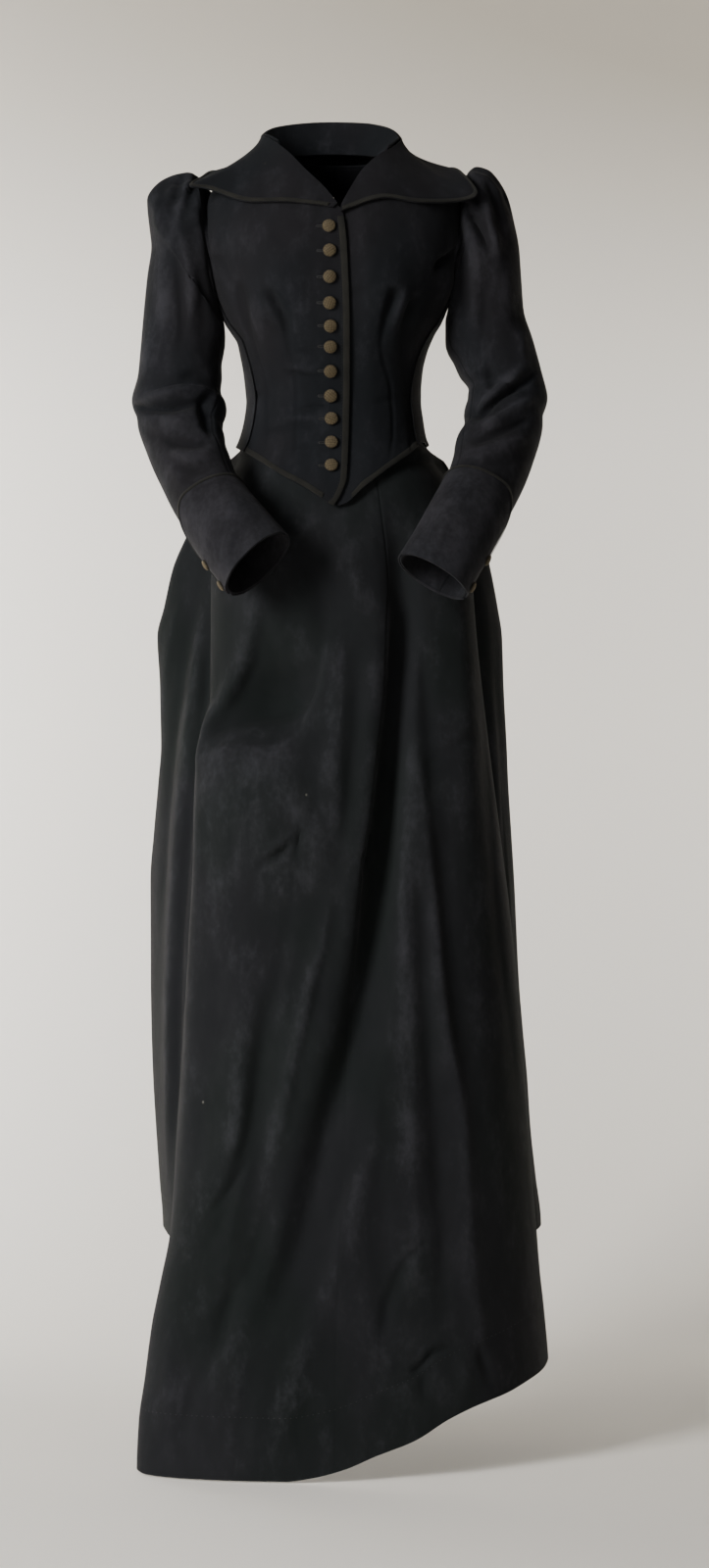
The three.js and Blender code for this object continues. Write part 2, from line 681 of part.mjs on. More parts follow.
// Soft gathers round the sleeve head and creases at the elbow.
function sleeveSwell(side, turn, step) {
  const wrapped = turn > 180 ? turn - 360 : turn;
  const top = smooth(clamp((115 - Math.abs(wrapped)) / 50, 0, 1));
  const head = top * smooth(clamp((step - 1) / 1.5, 0, 1)) * smooth(clamp((8 - step) / 6, 0, 1));
  const gathers = HEAD_GATHERS * Math.sin(wrapped * 0.21 + side + 0.4 * Math.sin(wrapped * 0.05));
  const lean = Math.cos(turn * DEGREE);
  const bend = bell(step - ELBOW_CREASE.step - 0.5 * lean, 0.45) * ELBOW_CREASE.depth;
  const below = bell(step - FOREARM_CREASE.step + 0.6 * lean, 0.45) * FOREARM_CREASE.depth;
  const inside = 0.45 + 0.55 * (1 - Math.cos((turn - 10) * DEGREE)) / 2;
  return head * gathers - (bend + below) * inside;
}

function sleeveSurface(table, side) {
  const tablePoint = (turn, step) => {
    const ring = sleeveRing(table, side, step);
    const cosine = Math.cos(turn * DEGREE);
    const sine = Math.sin(turn * DEGREE);
    const power = 2 / SLEEVE_SQUARENESS;
    const out = Math.sign(cosine) * Math.abs(cosine) ** power;
    const ahead = Math.sign(sine) * Math.abs(sine) ** power;
    const point = ring.middle.clone();
    point.addScaledVector(ring.across, out).addScaledVector(ring.forward, ahead);
    const radial = point.clone().sub(ring.middle).normalize();
    return point.addScaledVector(radial, sleeveSwell(side, turn, step));
  };
  return (turn, step) => {
    if (step >= 1) return tablePoint(turn, step);
    return armholePoint(side, turn).lerp(tablePoint(turn, 1), Math.max(step, 0));
  };
}

const SLEEVE_STEPS = [
  0, 0.5, 1, 2, 3, 4, 5, 6, 7.5, 9, 10.3, 11.3, 11.9, 12.5, 13.2, 14.2, 15.3, 16.4, 17.4, 18.3, 19.2, 20.1,
  20.9,
];

function sleevePiece(name, table, side, turns) {
  const surface = sleeveSurface(table, side);
  const outer = [];
  const normals = [];
  for (const step of SLEEVE_STEPS) {
    const points = [];
    const directions = [];
    turns.forEach((place, index) => {
      let turn = place;
      if (index === 0) turn += SLEEVE_GAP_TURN;
      if (index === turns.length - 1) turn -= SLEEVE_GAP_TURN;
      points.push(surface(turn, step));
      const normal = normalOf(surface, turn, Math.max(step, 0.06), 1.5, 0.05);
      directions.push(normal.multiplyScalar(side));
    });
    if (side < 0) {
      points.reverse();
      directions.reverse();
    }
    outer.push(points);
    normals.push(directions);
  }
  return wallMesh(name, outer, normals, SLEEVE_WALL, WOOL_JACKET);
}

// Upper edge of the cuff: level round the arm, curving down to the slit at the outer side.
function cuffTop(share) {
  const fromSlit = Math.min(share, 1 - share) / 0.2;
  const round = fromSlit >= 1 ? 0 : 1 - Math.sqrt(1 - (1 - fromSlit) ** 2);
  return mix(CUFF_START, CUFF_SLIT_TOP, round);
}

const CUFF_SLIT = -9;
const CUFF_SLIT_HALF = 4;

// Turns round the cuff: the slit edges and the sleeve's own columns between them.
function cuffTurns() {
  const first = CUFF_SLIT + CUFF_SLIT_HALF;
  const last = CUFF_SLIT + 360 - CUFF_SLIT_HALF;
  const sleeve = [...UPPER_SLEEVE_TURNS, ...UNDER_SLEEVE_TURNS.slice(1)];
  const ownTurns = sleeve.concat(sleeve.map((turn) => turn + 360));
  const between = ownTurns.filter((turn) => turn > first + 3 && turn < last - 3);
  const unique = [...new Set(between)].sort((a, b) => a - b);
  return [first, (first + unique[0]) / 2, ...unique, (last + unique[unique.length - 1]) / 2, last];
}

function cuffPoint(table, side, turn, rise, lift) {
  const surface = sleeveSurface(table, side);
  const first = CUFF_SLIT + CUFF_SLIT_HALF;
  const share = (turn - first) / (360 - 2 * CUFF_SLIT_HALF);
  const step = mix(SLEEVE_END, cuffTop(share), rise);
  const normal = normalOf(surface, turn, Math.min(step, SLEEVE_END - 0.05), 1.5, 0.05).multiplyScalar(side);
  return { point: lifted(surface(turn, step), normal, lift), normal };
}

function cuff(name, table, side) {
  const outer = [];
  const normals = [];
  for (const rise of evenly(4)) {
    const points = [];
    const directions = [];
    for (const turn of cuffTurns()) {
      const place = cuffPoint(table, side, turn, rise, CUFF_LIFT + CUFF_WALL);
      points.push(place.point);
      directions.push(place.normal);
    }
    if (side > 0) {
      points.reverse();
      directions.reverse();
    }
    outer.push(points);
    normals.push(directions);
  }
  grids[name] = { outer, normals };
  return wallMesh(name, outer, normals, CUFF_WALL, WOOL_JACKET);
}

// Point of a grid part of the way from one of its points to a neighbour, moved out.
function onGrid(grid, row, column, towardRow, towardColumn, distance, lift) {
  const from = grid.outer[row][column];
  const to = grid.outer[towardRow][towardColumn];
  const share = distance / from.distanceTo(to);
  const normal = grid.normals[row][column].clone();
  normal.lerp(grid.normals[towardRow][towardColumn], share).normalize();
  return { point: lifted(from.clone().lerp(to, share), normal, lift), normal };
}

const BRAID_LIFT = SEAT_GAP + 0.45 + BRAID_WALL;
const BRAID_INSET = 0.3;

function cuffBraid(name, cuffName) {
  const grid = grids[cuffName];
  const top = grid.outer.length - 1;
  const outer = [[], []];
  const normals = [[], []];
  grid.outer[top].forEach((unused, column) => {
    [CUFF_BRAID_WIDTH, BRAID_INSET].forEach((distance, index) => {
      const place = onGrid(grid, top, column, top - 1, column, distance, BRAID_LIFT);
      outer[index].push(place.point);
      normals[index].push(place.normal);
    });
  });
  return wallMesh(name, outer, normals, BRAID_WALL, BRAID);
}

// Apron surface: running value from -1 at the wearer's right edge to 1 at the left edge.
function apronBase(along, height) {
  const sideName = along < 0 ? 'right' : 'left';
  const degrees = Math.abs(along) * read(APRON, 'edge_angle', height);
  const angle = degrees * DEGREE;
  const half = read(APRON, `${sideName}_x`, height);
  const edgeY = read(APRON, `${sideName}_y`, height);
  const power = 2 / read(APRON, 'squareness', height);
  const x = Math.sign(along) * half * Math.sin(angle) ** power;
  const front = -read(APRON, 'front', height);
  const y = edgeY + (front - edgeY) * Math.cos(Math.min(angle, Math.PI / 2)) ** power;
  const share = smooth(clamp((height - UPPER_SKIRT_FROM) / (UPPER_SKIRT_FULL - UPPER_SKIRT_FROM), 0, 1));
  if (share === 0) return new THREE.Vector3(x, y, height);
  const oval = upperOval(Math.sign(along) * degrees, height, 0);
  return new THREE.Vector3(mix(x, oval[0], share), mix(y, oval[1], share), height);
}

// Depth of the folds of the apron at a place seen from the front, positive inward.
function apronFolds(x, height) {
  let depth = 0;
  for (const fold of [CENTRE_VALLEY, KNEE_VALLEY, OUTER_RIDGE]) {
    const across = read(fold, 'across', height);
    depth += read(fold, 'depth', height) * bell(x - across, read(fold, 'width', height));
  }
  for (const { across, height: middle, half_across: reach, half_height: rise, depth: own } of KNEE_FORMS) {
    depth += own * bell(x - across, reach) * bell(height - middle, rise);
  }
  return depth;
}

function apronSurface(along, height) {
  const base = apronBase(along, height);
  const edge = smooth(clamp((1 - Math.abs(along)) / 0.25, 0, 1));
  const normal = normalOf(apronBase, clamp(along, -APRON_EDGE_NORMAL, APRON_EDGE_NORMAL), height, 0.01, 2);
  return lifted(base, normal, -apronFolds(base.x, height) * edge);
}

// Height above which the apron's rows are level, and its running value where normals are still sound.
const APRON_LEVEL = 300;
const APRON_EDGE_NORMAL = 0.985;
// Extra half gap beside the apron seam, which slants.
const APRON_SEAM_EASE = 0.35;
const RIGHT_APRON_SHARES = [0, 0.09, 0.19, 0.29, 0.39, 0.49, 0.59, 0.69, 0.8, 0.9, 1];
const LEFT_APRON_SHARES = [0, 0.08, 0.17, 0.27, 0.38, 0.5, 0.63, 0.76, 0.89, 1];
const APRON_HEIGHTS = [
  0, 75, 150, 225, 300, 375, 450, 520, 590, 660, 720, 770, 815, 850, 882, 912, 940, 970,
  1000, 1040, 1085, 1135, 1190, 1244, 1280, 1302, 1320, 1340, 1362, 1391.5,
];

// Height of an apron row at a place across, following the slanting hem.
function apronHeight(nominal, x) {
  if (nominal >= APRON_LEVEL) return nominal;
  const hem = read(APRON_HEM, 'height', x);
  return mix(hem, APRON_LEVEL, nominal / APRON_LEVEL);
}

// Running value of the apron seam at a height.
function seamAlong(height) {
  const across = read(APRON_SEAM, 'across', height);
  const sideName = across < 0 ? 'right_x' : 'left_x';
  const half = read(APRON, sideName, Math.min(height, UPPER_SKIRT_FROM));
  const sine = clamp(Math.abs(across) / half, 0, 0.999) ** (read(APRON, 'squareness', height) / 2);
  return Math.sign(across) * Math.asin(sine) / DEGREE / read(APRON, 'edge_angle', height);
}

// One piece of the apron: columns between an edge and the seam, each seam point half a gap short.
function apronPiece(name, shares, edge) {
  const outer = [];
  const normals = [];
  for (const nominal of APRON_HEIGHTS) {
    const points = [];
    const directions = [];
    for (const share of shares) {
      const guess = mix(seamAlong(nominal), edge, share);
      const height = apronHeight(nominal, apronBase(guess, nominal).x);
      const along = mix(seamAlong(height), edge, share);
      const inside = clamp(along, -APRON_EDGE_NORMAL, APRON_EDGE_NORMAL);
      const normal = normalOf(apronSurface, inside, height, 0.01, 3);
      const point = apronSurface(along, height);
      if (share === 0) {
        const across = new THREE.Vector3(-normal.y, normal.x, 0).normalize();
        point.addScaledVector(across, edge * (SEAM_GAP / 2 + APRON_SEAM_EASE));
      }
      points.push(point);
      directions.push(normal);
    }
    if (edge < 0) {
      points.reverse();
      directions.reverse();
    }
    outer.push(points);
    normals.push(directions);
  }
  return wallMesh(name, outer, normals, SKIRT_WALL, WOOL_SKIRT);
}

function apronRight() {
  return apronPiece('apron_right', RIGHT_APRON_SHARES, -1);
}

function apronLeft() {
  return apronPiece('apron_left', LEFT_APRON_SHARES, 1);
}

// Point in plan of the apron moved inside it.
function insideApron(along, height, depth) {
  const base = apronSurface(along, height);
  const normal = normalOf(apronBase, clamp(along, -APRON_EDGE_NORMAL, APRON_EDGE_NORMAL), height, 0.01, 2);
  return [base.x - normal.x * depth, base.y - normal.y * depth];
}

const BACK_SQUARENESS = 2.25;

// Point in plan of the back half of the back layer.
function backArc(angle, height) {
  const sine = Math.sin(angle * DEGREE);
  const half = read(BACK, sine < 0 ? 'right_x' : 'left_x', height);
  const side = read(BACK, 'side_y', height);
  const depth = read(BACK, 'depth', height);
  const power = 2 / BACK_SQUARENESS;
  const backward = Math.max(-Math.cos(angle * DEGREE), 0) ** power;
  return [Math.sign(sine) * half * Math.abs(sine) ** power, side + (depth - side) * backward];
}

// Plan of the upper skirt, close under the jacket, as one oval.
function upperOval(angle, height, inset) {
  const point = torsoBase(angle, height);
  const normal = torsoNormal(angle, height);
  const depth = SKIRT_UNDER_JACKET + inset;
  return [point.x - normal.x * depth, point.y - normal.y * depth];
}

// Depth of the back layer inside the apron where the two lap.
const TUCK_UNDER_APRON = { top: 4.5, low: 11 };

// Key points in plan of the back layer, from under the right apron edge round to the left one.
function backKeys(height) {
    const low = smooth(clamp((UPPER_SKIRT_FULL - height) / (UPPER_SKIRT_FULL - UPPER_SKIRT_FROM), 0, 1));
  const fall = smooth(clamp((UPPER_SKIRT_FROM - height) / 180, 0, 1));
  const tuck = mix(TUCK_UNDER_APRON.top, TUCK_UNDER_APRON.low, fall);
  const edge = (side) => {
    const end = insideApron(side * APRON_EDGE_NORMAL, height, tuck * 0.8);
    return [end[0], end[1] + tuck * 0.9];
  };
  const table = low === 0 ? null : [
    insideApron(-0.76, height, tuck),
    insideApron(-0.89, height, tuck),
    edge(-1),
    [-read(BACK, 'right_fold', height), read(BACK, 'right_fold_y', height)],
    backArc(-90, height),
    backArc(-118, height),
    backArc(-138, height),
    backArc(-160, height),
    backArc(-180, height),
    backArc(160, height),
    backArc(138, height),
    backArc(118, height),
    backArc(90, height),
    [read(BACK, 'left_fold', height), read(BACK, 'left_fold_y', height)],
    edge(1),
    insideApron(0.89, height, tuck),
    insideApron(0.76, height, tuck),
  ];
  const angles = [-60, -69, -79, -85, -93, -118, -138, -160, -180, 160, 138, 118, 93, 85, 79, 69, 60];
  const insets = [4, 4, 3.2, 1.2, 0, 0, 0, 0, 0, 0, 0, 0, 0, 1.2, 3.2, 4, 4];
  return angles.map((angle, index) => {
    const oval = upperOval(angle, height, insets[index]);
    if (table === null) return oval;
    return [mix(oval[0], table[index][0], low), mix(oval[1], table[index][1], low)];
  });
}

const BACK_KEYS = 16;
const FLUTES_FROM = 1290;

function backSurface(along, height) {
  const keys = backKeys(height);
  const place = clamp(along, 0, 1) * BACK_KEYS;
  const [x, y] = curveThrough(keys, place);
  const upperGrowth = smooth(clamp((FLUTES_FROM - height) / 700, 0, 1)) * 0.85;
  const lowerGrowth = smooth(clamp((FLUTES_FROM - height) / 1000, 0, 1)) * 0.3;
  const growth = upperGrowth + lowerGrowth;
  const angle = mix(90, 270, clamp((place - 4) / 8, 0, 1));
  const onBack = smooth(clamp((place - 4) / 1.2, 0, 1)) * smooth(clamp((12 - place) / 1.2, 0, 1));
  let depth = 0;
  for (const flute of BACK_FLUTES) {
    depth += flute.depth * bell(angle - flute.angle, flute.width);
  }
  const length = Math.hypot(x, y);
  const shrink = 1 - (depth * growth * onBack) / length;
  return new THREE.Vector3(x * shrink, y * shrink, height);
}

const BACK_HEIGHTS = [
  284, 355, 430, 510, 590, 670, 750, 830, 910, 985, 1050, 1110, 1160, 1205, 1244, 1280, 1302,
  1320, 1340, 1362, 1391.5,
];

// Half the centre-back seam's gap as a running value, and the columns of facets of each half.
const CENTRE_BACK_GAP = 0.0015;
const BACK_COLUMNS = 16;

function skirtBack(name, from, to, count) {
  const outer = [];
  const normals = [];
  for (const height of BACK_HEIGHTS) {
    const points = [];
    const directions = [];
    for (const share of evenly(count)) {
      const along = mix(from, to, share);
      points.push(backSurface(along, height));
      directions.push(normalOf(backSurface, clamp(along, 0.004, 0.996), height, 0.004, 3).negate());
    }
    outer.push(points.reverse());
    normals.push(directions.reverse());
  }
  return wallMesh(name, outer, normals, SKIRT_WALL, WOOL_SKIRT);
}

// Waistband's lower and upper edge, and its ends as angles round the body form.
const BAND_HEIGHTS = [1391.9, 1424];
const BAND_ENDS = { from: 100, to: -258, columns: 30 };

// Waistband that the skirt hangs from, hidden under the jacket and open at the wearer's left.
function waistband() {
  const outer = [];
  const normals = [];
  for (const height of BAND_HEIGHTS) {
    const points = [];
    const directions = [];
    for (const share of evenly(BAND_ENDS.columns)) {
      const angle = mix(BAND_ENDS.from, BAND_ENDS.to, share);
      points.push(torsoLifted(angle, height, -SKIRT_UNDER_JACKET));
      directions.push(torsoNormal(angle, height));
    }
    outer.push(points.reverse());
    normals.push(directions.reverse());
  }
  return wallMesh('waistband', outer, normals, BAND_WALL, BANDING);
}

// Rows of facets along the collar, the stand's ends as running values, and its depth inside the fall.
const COLLAR_ROWS = 38;
const STAND_ROWS = 24;
const STAND_ENDS = { from: 0.21, to: 0.79 };
const STAND_INSIDE_FALL = 2.9;

// Collar: the roll line and the fall's edge as smooth curves along the collar.
function collarCurve(first, position) {
  const points = COLLAR.rows.map((row) => row.slice(first, first + 3));
  return new THREE.Vector3(...curveThrough(points, position));
}

function collarFallSurface(along, drop) {
  const last = COLLAR.rows.length - 1;
  const roll = collarCurve(0, along * last);
  const edge = collarCurve(3, along * last);
  const point = roll.clone().lerp(edge, drop);
  const width = roll.distanceTo(edge);
  const bow = curveThrough(COLLAR.rows.map((row) => [row[7]]), along * last)[0];
  const outward = new THREE.Vector3(point.x, point.y, Math.hypot(point.x, point.y)).normalize();
  return point.addScaledVector(outward, bow * width * Math.sin(Math.PI * drop ** 0.8));
}

function collarFall() {
  const outer = [];
  const normals = [];
  for (const along of evenly(COLLAR_ROWS)) {
    const points = [];
    const directions = [];
    for (const drop of evenly(4).reverse()) {
      const own = clamp(along, 0.004, 0.996);
      points.push(collarFallSurface(own, drop));
      directions.push(normalOf(collarFallSurface, own, clamp(drop, 0.02, 0.98), 0.003, 0.02));
    }
    outer.push(points);
    normals.push(directions);
  }
  grids.collar_fall = { outer, normals };
  return wallMesh('collar_fall', outer, normals, COLLAR_WALL, WOOL_JACKET);
}

function collarStandSurface(along, drop) {
  const last = COLLAR.rows.length - 1;
  const position = along * last;
  const roll = collarCurve(0, position);
  const foot = roll.clone();
  const height = curveThrough(COLLAR.rows.map((row) => [row[6]]), position)[0];
  foot.z -= height;
  const flat = Math.hypot(roll.x, roll.y);
  const inset = Math.min(height, 30) * 0.75;
  foot.x -= (roll.x / flat) * inset;
  foot.y -= (roll.y / flat) * inset;
  return roll.lerp(foot, drop);
}

function collarStand() {
  const outer = [];
  const normals = [];
  for (const share of evenly(STAND_ROWS)) {
    const along = mix(STAND_ENDS.from, STAND_ENDS.to, share);
    const points = [];
    const directions = [];
    for (const drop of [1, 0.5, 0.05]) {
      const normal = normalOf(collarStandSurface, along, drop, 0.003, 0.02);
      points.push(lifted(collarStandSurface(along, drop), normal, -STAND_INSIDE_FALL));
      directions.push(normal);
    }
    outer.push(points);
    normals.push(directions);
  }
  return wallMesh('collar_stand', outer, normals, COLLAR_WALL, WOOL_JACKET);
}

function collarBraid() {
  const grid = grids.collar_fall;
  const outer = [];
  const normals = [];
  grid.outer.forEach((unused, row) => {
    if (row === 0 || row === grid.outer.length - 1) return;
    const places = [BRAID_INSET, COLLAR_BRAID_WIDTH].map(
      (distance) => onGrid(grid, row, 0, row, 1, distance, BRAID_LIFT),
    );
    outer.push(places.map((place) => place.point));
    normals.push(places.map((place) => place.normal));
  });
  return wallMesh('braid_collar', outer, normals, BRAID_WALL, BRAID);
}

const FRONT_BRAID_TOP = 1610;

// Braid along the lapped front edge, on the points of the panel under it.
function frontBraid() {
  const grid = grids.front_right;
  const last = grid.outer[0].length - 1;
  const outer = [];
  const normals = [];
  const top = FRONT_HEIGHTS.findIndex((height) => height > FRONT_BRAID_TOP);
  const rows = Array.from({ length: top }, (_, row) => row);
  for (const row of rows) {
    const places = [BRAID_WIDTH, BRAID_INSET].map(
      (distance) => onGrid(grid, row, last, row, last - 1, distance, BRAID_LIFT),
    );
    outer.push(places.map((place) => place.point));
    normals.push(places.map((place) => place.normal));
  }
  return wallMesh('braid_front', outer, normals, BRAID_WALL, BRAID);
}

// Braid along the jacket's lower edge, running over the panels of one side of the body.
function hemBraid(name, side, panels) {
  const outer = [[], []];
  const normals = [[], []];
  for (const panel of panels) {
    const grid = grids[panel];
    const count = grid.outer[0].length;
    for (let index = 0; index < count; index += 1) {
      const column = side < 0 ? count - 1 - index : index;
      if (panel.startsWith('front') && index === 0) continue;
      [BRAID_INSET, BRAID_WIDTH].forEach((distance, row) => {
        const place = onGrid(grid, 0, column, 1, column, distance, BRAID_LIFT);
        outer[row].push(place.point);
        normals[row].push(place.normal);
      });
    }
  }
  if (side < 0) {
    outer.forEach((row) => row.reverse());
    normals.forEach((row) => row.reverse());
  }
  return wallMesh(name, outer, normals, BRAID_WALL, BRAID);
}

// Sides of a button, and its profile as shares of the radius and the height.
const BUTTON_SIDES = 10;
const BUTTON_PROFILE = [[0.86, 0], [1, 0.34], [0.72, 0.86]];

// Domed button standing on a surface point.
function button(name, centre, normal, radius, height) {
  const segments = BUTTON_SIDES;
  const axis = normal.clone().normalize();
  const first = new THREE.Vector3(0, 0, 1).cross(axis).normalize();
  const second = axis.clone().cross(first);
  const rings = BUTTON_PROFILE;
  const positions = [...centre.toArray()];
  for (const [spread, rise] of rings) {
    for (let index = 0; index < segments; index += 1) {
      const turn = (index / segments) * 2 * Math.PI;
      const point = lifted(centre, axis, rise * height);
      point.addScaledVector(first, spread * radius * Math.cos(turn));
      point.addScaledVector(second, spread * radius * Math.sin(turn));
      positions.push(...point.toArray());
    }
  }
  positions.push(...lifted(centre, axis, height).toArray());
  const top = 1 + rings.length * segments;
  const faces = [];
  for (let index = 0; index < segments; index += 1) {
    const next = (index + 1) % segments;
    faces.push(0, 1 + next, 1 + index);
    for (let ring = 0; ring < rings.length - 1; ring += 1) {
      const a = 1 + ring * segments + index;
      const b = 1 + ring * segments + next;
      faces.push(a, b, b + segments, a, b + segments, a + segments);
    }
    faces.push(top, top - segments + index, top - segments + next);
  }
  return meshFrom(name, positions, faces, BUTTON);
}

// Lift that keeps a disc clear of a surface made of flat facets.
function discLift(grid, centre, normal, radius) {
  let highest = 0;
  const inPlane = new THREE.Vector3();
  const visit = (point) => {
    const away = inPlane.copy(point).sub(centre);
    const rise = away.dot(normal);
    away.addScaledVector(normal, -rise);
    if (away.length() < radius) highest = Math.max(highest, rise);
  };
  for (let row = 0; row < grid.outer.length - 1; row += 1) {
    for (let column = 0; column < grid.outer[0].length - 1; column += 1) {
      const corners = [
        grid.outer[row][column],
        grid.outer[row][column + 1],
        grid.outer[row + 1][column + 1],
        grid.outer[row + 1][column],
      ];
      if (corners[0].distanceTo(centre) > 90) continue;
      for (const [a, b, c] of [[0, 1, 2], [0, 2, 3]]) {
        for (const u of evenly(16)) {
          for (const v of evenly(16)) {
            if (u + v > 1) continue;
            const point = corners[a].clone().multiplyScalar(1 - u - v);
            point.addScaledVector(corners[b], u).addScaledVector(corners[c], v);
            visit(point);
          }
        }
      }
    }
  }
  return highest;
}

function frontButtons() {
  return FRONT_BUTTONS.map(([height, across], index) => {
    const angle = frontAngleAt(across, height);
    const normal = torsoNormal(angle, height);
    const number = String(index + 1).padStart(2, '0');
    const base = lifted(torsoBase(angle, height), normal, -LAP_DEPTH);
    const lift = discLift(grids.front_right, base, normal, BUTTON_RADIUS) + SEAT_GAP;
    const seat = lifted(base, normal, lift);
    return button(`button_front_${number}`, seat, normal, BUTTON_RADIUS, BUTTON_HEIGHT);
  });
}

function cuffButtons(side, table, sideName) {
  return CUFF_BUTTON_RISES.map((rise, index) => {
    const place = cuffPoint(table, side, CUFF_SLIT + CUFF_SLIT_HALF + CUFF_BUTTON_TURN, rise, 0);
    const cuffGrid = grids[`cuff_${sideName}`];
    const lift = discLift(cuffGrid, place.point, place.normal, CUFF_BUTTON_RADIUS) + SEAT_GAP;
    const seat = lifted(place.point, place.normal, lift);
    const name = `button_cuff_${sideName}_${index + 1}`;
    return button(name, seat, place.normal, CUFF_BUTTON_RADIUS, CUFF_BUTTON_HEIGHT);
  });
}

function buildHabit() {
  const pieces = [
    frontRight(),
    frontLeft(),
    underarm('underarm_right', -1),
    underarm('underarm_left', 1),
    sideBack('side_back_right', -1),
    sideBack('side_back_left', 1),
    backPanel('back_right', -1),
    backPanel('back_left', 1),
    collarFall(),
    collarStand(),
    sleevePiece('sleeve_right_upper', RIGHT_SLEEVE, -1, UPPER_SLEEVE_TURNS),
    sleevePiece('sleeve_right_under', RIGHT_SLEEVE, -1, UNDER_SLEEVE_TURNS),
    sleevePiece('sleeve_left_upper', LEFT_SLEEVE, 1, UPPER_SLEEVE_TURNS),
    sleevePiece('sleeve_left_under', LEFT_SLEEVE, 1, UNDER_SLEEVE_TURNS),
    cuff('cuff_right', RIGHT_SLEEVE, -1),
    cuff('cuff_left', LEFT_SLEEVE, 1),
    apronRight(),
    apronLeft(),
    skirtBack('skirt_back_right', 0, 0.5 - CENTRE_BACK_GAP, BACK_COLUMNS),
    skirtBack('skirt_back_left', 0.5 + CENTRE_BACK_GAP, 1, BACK_COLUMNS),
    waistband(),
    frontBraid(),
    hemBraid('braid_hem_right', -1, ['front_right', 'underarm_right', 'side_back_right', 'back_right']),
    hemBraid('braid_hem_left', 1, ['front_left', 'underarm_left', 'side_back_left', 'back_left']),
    collarBraid(),
    cuffBraid('braid_cuff_right', 'cuff_right'),
    cuffBraid('braid_cuff_left', 'cuff_left'),
    ...frontButtons(),
    ...cuffButtons(-1, RIGHT_SLEEVE, 'right'),
    ...cuffButtons(1, LEFT_SLEEVE, 'left'),
  ];
  const body = new THREE.Group();
  body.name = 'habit_body';
  body.position.z = -SHOULDER_HEIGHT;
  pieces.forEach((piece) => body.add(piece));
  const root = new THREE.Group();
  root.name = 'riding_habit';
  root.add(body);
  return root;
}

export default buildHabit();
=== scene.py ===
"""Looks of the riding habit: dark wool with its folds, braid, corded buttons and stitches, in a plain studio."""
import math
import bpy
import numpy as np
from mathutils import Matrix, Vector


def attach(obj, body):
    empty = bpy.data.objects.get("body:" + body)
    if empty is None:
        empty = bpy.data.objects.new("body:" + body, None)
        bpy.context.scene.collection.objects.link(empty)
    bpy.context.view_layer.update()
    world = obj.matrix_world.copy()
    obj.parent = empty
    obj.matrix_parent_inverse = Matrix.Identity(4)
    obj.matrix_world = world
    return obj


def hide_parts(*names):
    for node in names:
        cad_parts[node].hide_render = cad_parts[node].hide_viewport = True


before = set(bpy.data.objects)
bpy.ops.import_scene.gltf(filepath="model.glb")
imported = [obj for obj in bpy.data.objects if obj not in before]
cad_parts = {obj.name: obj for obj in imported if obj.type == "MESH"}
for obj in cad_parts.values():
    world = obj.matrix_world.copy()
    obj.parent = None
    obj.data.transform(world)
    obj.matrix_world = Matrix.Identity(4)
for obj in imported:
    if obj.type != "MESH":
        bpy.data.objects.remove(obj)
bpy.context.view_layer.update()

# Sizes in millimetres; heights are measured up from the lowest point of the skirt's hem.
SHOULDER_HEIGHT = 1655.0
JACKET_WALL = 2.0
SLEEVE_WALL = 1.8
SKIRT_WALL = 2.0
COLLAR_WALL = 2.4
SKIRT_UNDER_JACKET = 7.0
LAP_DEPTH = 3.0
WAISTBAND_WALL = 2.4
# Braid: how far in from its edge each one starts and reaches, its rest above the cloth and its thickness.
BRAID_START = 0.2
FRONT_BRAID_REACH = 9.0
HEM_BRAID_REACH = 7.5
CUFF_BRAID_REACH = 4.6
COLLAR_BRAID_REACH = 6.4
BRAID_REST = 0.35
BRAID_THICK = 1.0
CUFF_BRAID_THICK = 0.8
BRAID_STEPS = 9
BUTTON_RADIUS = 8.75
BUTTON_HEIGHT = 5.4
CUFF_BUTTON_RADIUS = 7.5
CUFF_BUTTON_HEIGHT = 4.8
# Stitches: where a buttonhole starts and ends beside its button's middle, its half width, the distances of
# stitched lines from the edges of their panels, and how far a stitch may turn out of line.
HOLE_START = 8.0
HOLE_END = 16.5
HOLE_HALF_WIDTH = 1.1
FRONT_BRAID_STITCHES = 10.5
COLLAR_BRAID_STITCHES = 7.5
APRON_FACING = 80.0
BACK_FACING = 45.0
STITCH_WOBBLE = 0.12

ARMHOLE_MIDDLE = 1580.0
ARMHOLE_HALF_HEIGHT = 75.0
ARMHOLE_HALF_ANGLE = 20.0
SHOULDER_TOP = ARMHOLE_MIDDLE + ARMHOLE_HALF_HEIGHT
UNDERARM = ARMHOLE_MIDDLE - ARMHOLE_HALF_HEIGHT
FRONT_SEAM_TOP = 1515.0
BACK_SEAM_TOP = 1602.0
PANEL_LEVEL = 1400.0
JACKET_FOOT = 1240.0
SIDE_BACK_TOP = 1595.0
BRAID_TOP = 1612.0
COLLAR_SEAM = 1697.0
# How many even steps each kind of panel has across it.
STEPS_ACROSS = {"front": 52, "underarm": 20, "side_back": 16, "back": 30, "upper": 62, "under": 38,
                "apron_right": 104, "apron_left": 84, "skirt_back": 118}
# Shares of the back layer's round where its two halves end, on both sides of the centre back seam.
HALVES_END = (0.4998, 0.5002)
# Shares next to a seam where extra rows of points stand.
NEAR_SEAM = (0.004, 0.009, 0.016, 0.028)
NEAR_SLEEVE_SEAM = (0.004, 0.01, 0.02, 0.035)
NEAR_SKIRT_SEAM = (0.0015, 0.0035, 0.007, 0.013)


